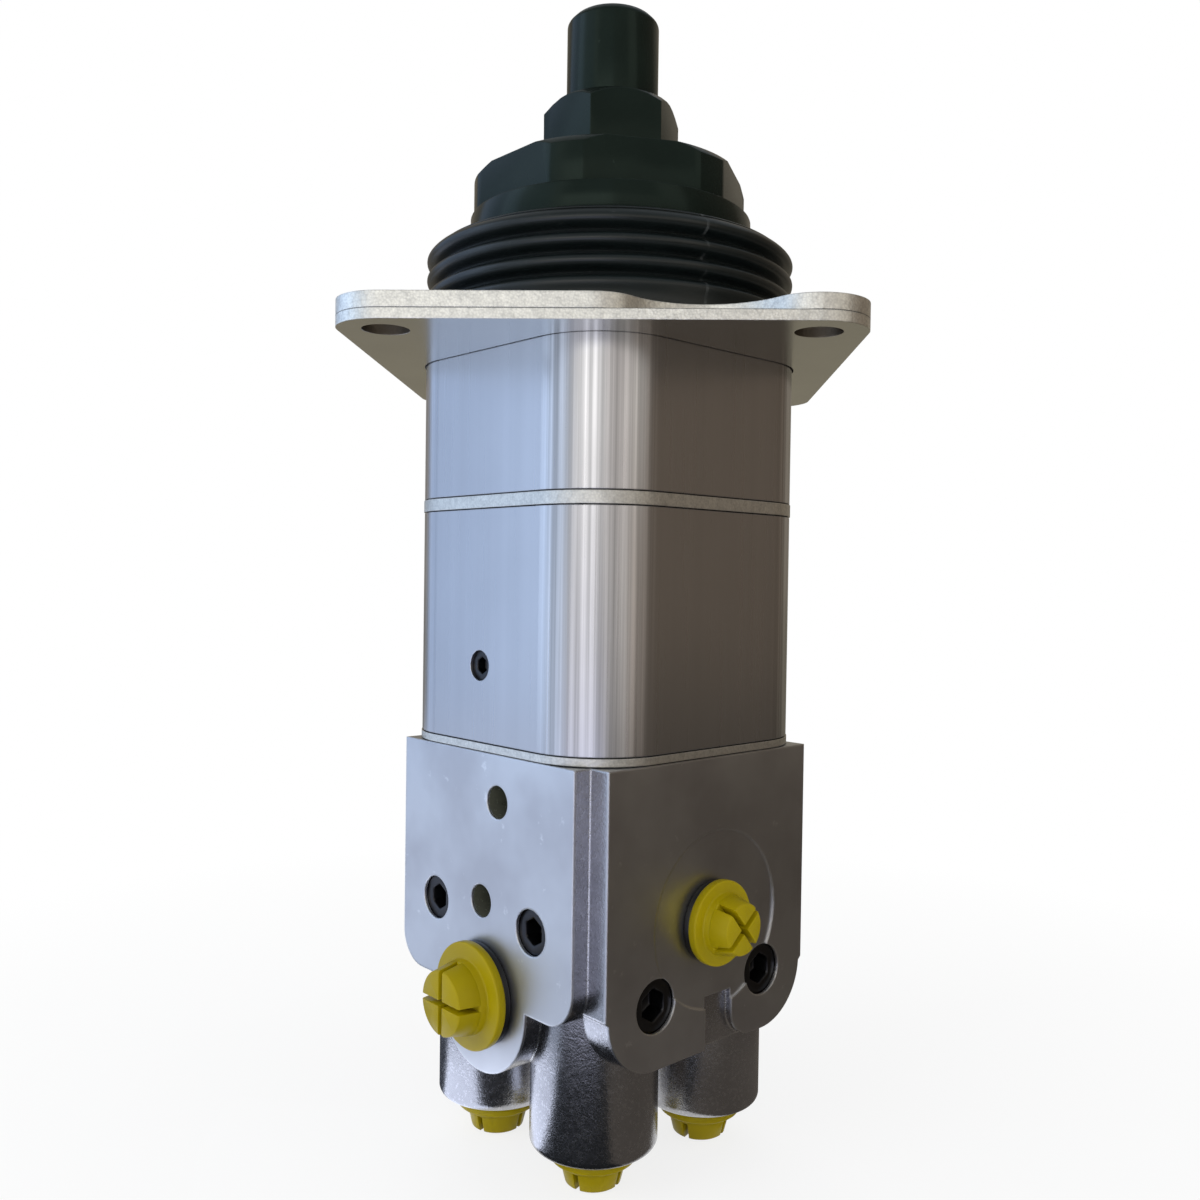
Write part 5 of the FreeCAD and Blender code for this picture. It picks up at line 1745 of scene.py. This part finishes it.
@dataclass(frozen=True)
class Panel:
    """A curved panel of the room round the valve, which metal mirrors and the camera doesn't see.

    Its angles run from -Y towards +X, in degrees, and its profile goes from one radius and height to another.
    """

    name: str
    start: float
    end: float
    near: Pair
    far: Pair
    colour: Triple
    steps: int = 16

    def build(self) -> None:
        """Spin the profile between the two angles."""
        mesh = bmesh.new()
        ends = [mesh.verts.new((radius, 0.0, height)) for radius, height in (self.near, self.far)]
        edge = mesh.edges.new(ends)
        turn = Matrix.Rotation(math.radians(self.start + FRONT), 4, "Z")
        bmesh.ops.transform(mesh, matrix=turn, verts=ends)
        bmesh.ops.spin(
            mesh, geom=ends + [edge], cent=ORIGIN, axis=AXIS, dvec=ORIGIN,
            angle=math.radians(self.end - self.start), steps=self.steps, use_merge=False,
        )
        data = bpy.data.meshes.new(self.name)
        mesh.to_mesh(data)
        mesh.free()
        data.materials.append(self.glow())
        panel = bpy.data.objects.new(self.name, data)
        bpy.context.scene.collection.objects.link(panel)
        panel.visible_camera = False
        panel.visible_shadow = False
        panel.visible_diffuse = False

    def glow(self) -> bpy.types.Material:
        """Make the material that shines in the panel's colour.

        Returns:
            The material.
        """
        material = bpy.data.materials.new(self.name)
        material.use_nodes = True
        graph = Graph(material.node_tree)
        shine = graph.node("ShaderNodeEmission", {"Color": (*self.colour, 1.0), "Strength": 1.0})
        graph.feed(material.node_tree.nodes["Material Output"].inputs["Surface"], shine.outputs[0])
        return material


@dataclass
class Studio:
    """Pale floor, white surroundings, lamps, mirrored panels, and the camera at the photograph's place."""

    middle: Vector = field(default_factory=lambda: Vector((0.0, 0.0, -0.045)))
    image: float = 1200.0
    focal: float = 1116.85
    centre_x: float = 605.18
    distance: float = 246.9
    height: float = -45.84
    yaw: float = math.radians(2.19)
    pitch: float = -0.0184
    roll: float = 0.0143
    sensor: float = 36.0
    clip: Pair = (0.01, 50.0)
    floor_height: float = -0.1676
    floor_half: float = 6.0
    floor_colour: Colour = (0.9, 0.9, 0.89, 1.0)
    floor_roughness: float = 0.8
    floor_specular: float = 0.1
    floor_glow: Pair = (0.8, 1.0)
    floor_reach: Pair = (0.17, 0.32)
    fill_colour: Colour = (0.95, 0.97, 1.0, 1.0)
    fill_power: float = 0.55
    lamps: tuple[Softbox, ...] = (
        Softbox("lamp_left", (-0.75, -0.55, 0.45), 0.6, 4.0, (0.9, 0.95, 1.0)),
        Softbox("lamp_front", (0.1, -0.9, 0.15), 0.5, 1.6, (1.0, 0.98, 0.95)),
        Softbox("lamp_right", (0.8, -0.3, 0.5), 0.5, 1.2, (1.0, 0.95, 0.9)),
        Softbox("lamp_back", (-0.2, 0.9, 0.5), 0.8, 2.5),
    )
    panels: tuple[Panel, ...] = (
        Panel("wall_left", -125.0, -91.0, (0.6, -0.16), (0.6, 0.55), (0.56, 0.72, 1.02)),
        Panel("wall_left_bright", -91.0, -74.0, (0.6, -0.16), (0.6, 0.55), (1.2, 1.5, 2.0)),
        Panel("wall_left_front", -74.0, -44.0, (0.6, -0.16), (0.6, 0.55), (0.72, 0.84, 1.02)),
        Panel("wall_window_low", -38.0, 0.0, (0.6, -0.16), (0.6, 0.0), (1.02, 1.0, 1.0)),
        Panel("wall_window", -35.0, 4.0, (0.6, 0.0), (0.6, 0.2), (1.65, 1.62, 1.55)),
        Panel("wall_window_head", -35.0, 4.0, (0.6, 0.2), (0.6, 0.55), (0.5, 0.52, 0.54)),
        Panel("wall_front_low", 0.0, 40.0, (0.6, -0.16), (0.6, 0.0), (0.56, 0.53, 0.49)),
        Panel("wall_front", 4.0, 40.0, (0.6, 0.0), (0.6, 0.2), (0.80, 0.74, 0.68)),
        Panel("wall_front_head", 4.0, 40.0, (0.6, 0.2), (0.6, 0.55), (0.4, 0.38, 0.36)),
        Panel("wall_right_front", 40.0, 62.0, (0.6, -0.16), (0.6, 0.03), (0.50, 0.43, 0.36)),
        Panel("wall_right_front_head", 40.0, 62.0, (0.6, 0.03), (0.6, 0.55), (0.85, 0.8, 0.72)),
        Panel("wall_right", 62.0, 125.0, (0.6, -0.12), (0.6, 0.55), (0.175, 0.138, 0.102)),
        Panel("wall_right_low", 62.0, 125.0, (0.6, -0.16), (0.6, -0.12), (0.11, 0.095, 0.075)),
        Panel("wall_back_low", 125.0, 235.0, (0.6, -0.16), (0.6, -0.06), (0.22, 0.20, 0.15)),
        Panel("wall_back", 125.0, 235.0, (0.6, -0.06), (0.6, 0.55), (0.30, 0.265, 0.21)),
        Panel("ceiling", 0.0, 360.0, (0.6, 0.55), (0.01, 0.7), (0.30, 0.32, 0.34)),
        Panel("table_left", -140.0, -48.0, (0.11, -0.1675), (0.6, -0.16), (0.74, 0.84, 1.06)),
        Panel("table_left_shade", -140.0, -48.0, (0.085, -0.1675), (0.11, -0.1675), (0.20, 0.24, 0.30)),
        Panel("table_left_bright", -95.0, -48.0, (0.03, -0.1675), (0.085, -0.1675), (1.5, 1.62, 1.95)),
        Panel("table_left_dark", -140.0, -95.0, (0.03, -0.1675), (0.085, -0.1675), (0.05, 0.055, 0.07)),
        Panel("table_front", -48.0, 17.0, (0.03, -0.1675), (0.11, -0.1675), (0.02, 0.022, 0.024)),
        Panel("table_window", -48.0, 8.0, (0.14, -0.1675), (0.6, -0.16), (1.0, 1.05, 1.35)),
        Panel("table_window_shade", -48.0, 8.0, (0.11, -0.1675), (0.14, -0.1675), (0.06, 0.063, 0.07)),
        Panel("table_front_far", 8.0, 45.0, (0.11, -0.1675), (0.6, -0.16), (0.16, 0.15, 0.14)),
        Panel("table_right", 17.0, 140.0, (0.03, -0.1675), (0.11, -0.1675), (0.12, 0.105, 0.09)),
        Panel("table_right_far", 45.0, 140.0, (0.11, -0.1675), (0.6, -0.16), (0.078, 0.065, 0.052)),
        Panel("table_back", 140.0, 220.0, (0.03, -0.1675), (0.6, -0.16), (0.20, 0.18, 0.14)),
    )

    def camera(self) -> None:
        """Stand the camera where the photograph's perspective puts it."""
        data = bpy.data.cameras.new("camera")
        data.sensor_width = self.sensor
        data.lens = self.focal / self.image * data.sensor_width
        data.shift_x = (self.image / 2.0 - self.centre_x) / self.image
        data.clip_start, data.clip_end = self.clip
        camera = bpy.data.objects.new("camera", data)
        ahead = Vector((-math.sin(self.yaw), math.cos(self.yaw), 0.0))
        level = Vector((math.cos(self.yaw), math.sin(self.yaw), 0.0))
        forward = ahead * math.cos(self.pitch) + AXIS * math.sin(self.pitch)
        above = AXIS * math.cos(self.pitch) - ahead * math.sin(self.pitch)
        right = level * math.cos(self.roll) + above * math.sin(self.roll)
        head = above * math.cos(self.roll) - level * math.sin(self.roll)
        turn = Matrix((right, head, -forward)).transposed().to_4x4()
        spot = (AXIS * self.height - ahead * self.distance) * MM
        camera.matrix_world = Matrix.Translation(spot) @ turn
        bpy.context.scene.collection.objects.link(camera)
        bpy.context.scene.camera = camera

    def floor(self) -> None:
        """Lay the floor."""
        mesh = bmesh.new()
        bmesh.ops.create_grid(mesh, x_segments=1, y_segments=1, size=self.floor_half)
        mesh.transform(Matrix.Translation((0.0, 0.0, self.floor_height)))
        data = bpy.data.meshes.new("floor")
        mesh.to_mesh(data)
        mesh.free()
        data.materials.append(self.pale())
        floor = bpy.data.objects.new("floor", data)
        bpy.context.scene.collection.objects.link(floor)

    def pale(self) -> bpy.types.Material:
        """Make the floor's material: pale to the camera and in metal, and it keeps a soft shadow.

        Returns:
            The material.
        """
        material = bpy.data.materials.new("pale_floor")
        material.use_nodes = True
        graph = Graph(material.node_tree)
        shader = material.node_tree.nodes["Principled BSDF"]
        shader.inputs["Base Color"].default_value = self.floor_colour
        shader.inputs["Roughness"].default_value = self.floor_roughness
        shader.inputs["Specular IOR Level"].default_value = self.floor_specular
        seen = graph.node("ShaderNodeLightPath")
        shown = graph.calc("MAXIMUM", seen.outputs["Is Camera Ray"], seen.outputs["Is Glossy Ray"])
        share = graph.spread(graph.vector("LENGTH", graph.place()), *self.floor_glow, *self.floor_reach)
        white = graph.node("ShaderNodeEmission", {"Color": WHITE, "Strength": 1.0})
        lit = graph.calc("MULTIPLY", shown, share)
        both = graph.node("ShaderNodeMixShader", {0: lit, 1: shader.outputs[0], 2: white.outputs[0]})
        graph.feed(material.node_tree.nodes["Material Output"].inputs["Surface"], both.outputs[0])
        return material

    def surroundings(self) -> None:
        """Light the scene evenly, and show white where the camera or metal looks past the valve."""
        world = bpy.data.worlds.new("surroundings")
        world.use_nodes = True
        bpy.context.scene.world = world
        graph = Graph(world.node_tree)
        seen = graph.node("ShaderNodeLightPath").outputs
        mirrored = graph.calc("MAXIMUM", seen["Is Glossy Ray"], seen["Is Transmission Ray"])
        shown = graph.calc("MAXIMUM", seen["Is Camera Ray"], mirrored)
        lit = graph.node("ShaderNodeBackground", {"Color": self.fill_colour, "Strength": self.fill_power})
        white = graph.node("ShaderNodeBackground", {"Color": WHITE, "Strength": 1.0})
        both = graph.node("ShaderNodeMixShader", {0: shown, 1: lit.outputs[0], 2: white.outputs[0]})
        graph.feed(world.node_tree.nodes["World Output"].inputs["Surface"], both.outputs[0])

    def build(self) -> None:
        """Set up the whole studio."""
        self.camera()
        self.floor()
        self.surroundings()
        for lamp in self.lamps:
            lamp.build(self.middle)
        for panel in self.panels:
            panel.build()
        bpy.context.scene.view_settings.view_transform = "Standard"


# The whole valve


@dataclass
class PilotValve:
    """The valve's sub-assemblies, with the places that the caps and plugs share."""

    pad_face: float = 33.0
    spot_deep: float = 0.4
    block_top: float = -81.0
    boss_end: float = -159.4
    port_ring: float = 22.415
    half_bore: float = 15.85
    pressure_port: float = 32.8
    tank_port: float = 48.7
    pressure_plugs: float = 46.3
    set_screw: Pair = (-1.5, -63.6)
    seat_bottom: float = -17.2
    pressure_turn: float = 40.0
    work_turn: float = 30.0

    def pad_place(self, pad: Pad, below: float, sink: float = 0.0) -> Matrix:
        """Give the place of a cap on a pad.

        Args:
            pad: The pad.
            below: Its distance below the block's top.
            sink: How far its face is set into the pad.

        Returns:
            The place as a matrix.
        """
        spot = pad.outwards() * (self.pad_face - sink) + Vector((0.0, 0.0, self.block_top - below))
        return face_towards(spot, pad.outwards(), pad.aside())

    def caps(self) -> list[ShippingCap]:
        """List the shipping caps of all three sizes.

        Returns:
            The caps, from the pressure port's to the work ports'.
        """
        turned = Matrix.Rotation(math.radians(self.pressure_turn), 4, "Z")
        flip = Matrix.Rotation(math.pi, 4, "X") @ Matrix.Rotation(math.radians(self.work_turn), 4, "Z")
        beside = [(x * self.port_ring, y * self.port_ring) for x, y in (side.value for side in Side)]
        under = [Matrix.Translation((x, y, self.boss_end)) @ flip for x, y in beside]
        return [
            ShippingCap(
                "pressure", [self.pad_place(Pad.PRESSURE, self.pressure_port, self.spot_deep) @ turned],
                ["pressure_port_cap"], ["pressure_cap_seal"],
                port_radius=5.9, flange=8.5, thick=1.9, knob=6.0, high=5.4, shank=9.0,
            ),
            ShippingCap(
                "tank", [self.pad_place(Pad.TANK, self.tank_port)], ["tank_port_cap"], ["tank_cap_seal"],
                port_radius=7.5, flange=10.7, thick=2.0, knob=7.3, high=6.2, shank=9.0,
            ),
            ShippingCap(
                "work", under, ["work_port_caps"], ["work_cap_seals"],
                port_radius=5.9, flange=8.8, thick=1.5, knob=6.6, high=5.0, shank=8.0,
            ),
        ]

    def screws(self) -> list[SocketScrews]:
        """List the plugs and the set screw.

        Returns:
            The plugs of both pads, then the set screw.
        """
        high = self.block_top - self.pressure_port
        low = self.block_top - self.pressure_plugs
        aside = self.half_bore
        return [
            SocketScrews(
                "tank_side_plugs", "gallery_plugs_tank_side", Pad.TANK, [(-aside, high), (aside, high)],
                radius=4.5, across=4.6, long=7.5, sunk=0.7, socket=4.0,
            ),
            SocketScrews(
                "pressure_side_plugs", "gallery_plugs_pressure_side", Pad.PRESSURE,
                [(-aside, low), (aside, low)], radius=5.25, across=5.6, long=7.5, sunk=0.7, socket=4.0,
            ),
            SocketScrews(
                "set_screw_with_socket", "housing_set_screw", Pad.TANK, [self.set_screw],
                radius=3.1, across=3.0, long=4.0, sunk=0.6, socket=2.2, bevel=0.3,
            ),
        ]

    def springs(self) -> tuple[CoilSprings, ...]:
        """List the two kinds of springs.

        Returns:
            The return springs and the control springs.
        """
        top = self.seat_bottom
        return (
            CoilSprings("return_spring", low=-58.0, high=top, radius=7.4, wire=1.6, turns=4.0, still=-58.0),
            CoilSprings("control_spring", low=-46.0, high=top, radius=3.9, wire=1.2, turns=5.0, still=-53.0),
        )

    def build(self) -> None:
        """Build the valve from the flange down, then the boot and the head."""
        works = PilotWorks(springs=self.springs())
        parts: list[Any] = [ValveBody(), works, *self.caps(), *self.screws(), Bellows(), LeverHead()]
        for part in parts:
            LOG.info("sub-assembly %s", type(part).__name__)
            part.build()


def corners(box: tuple[Vector, Vector]) -> list[list[float]]:
    """Give a box's two corners as plain lists of numbers."""
    return [[float(number) for number in corner] for corner in box]


def main() -> None:
    """Build the valve and the studio."""
    logging.basicConfig(level=logging.INFO, format="%(name)s: %(message)s")
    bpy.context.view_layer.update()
    PilotValve().build()
    Studio().build()


if __name__ == "__main__":
    main()
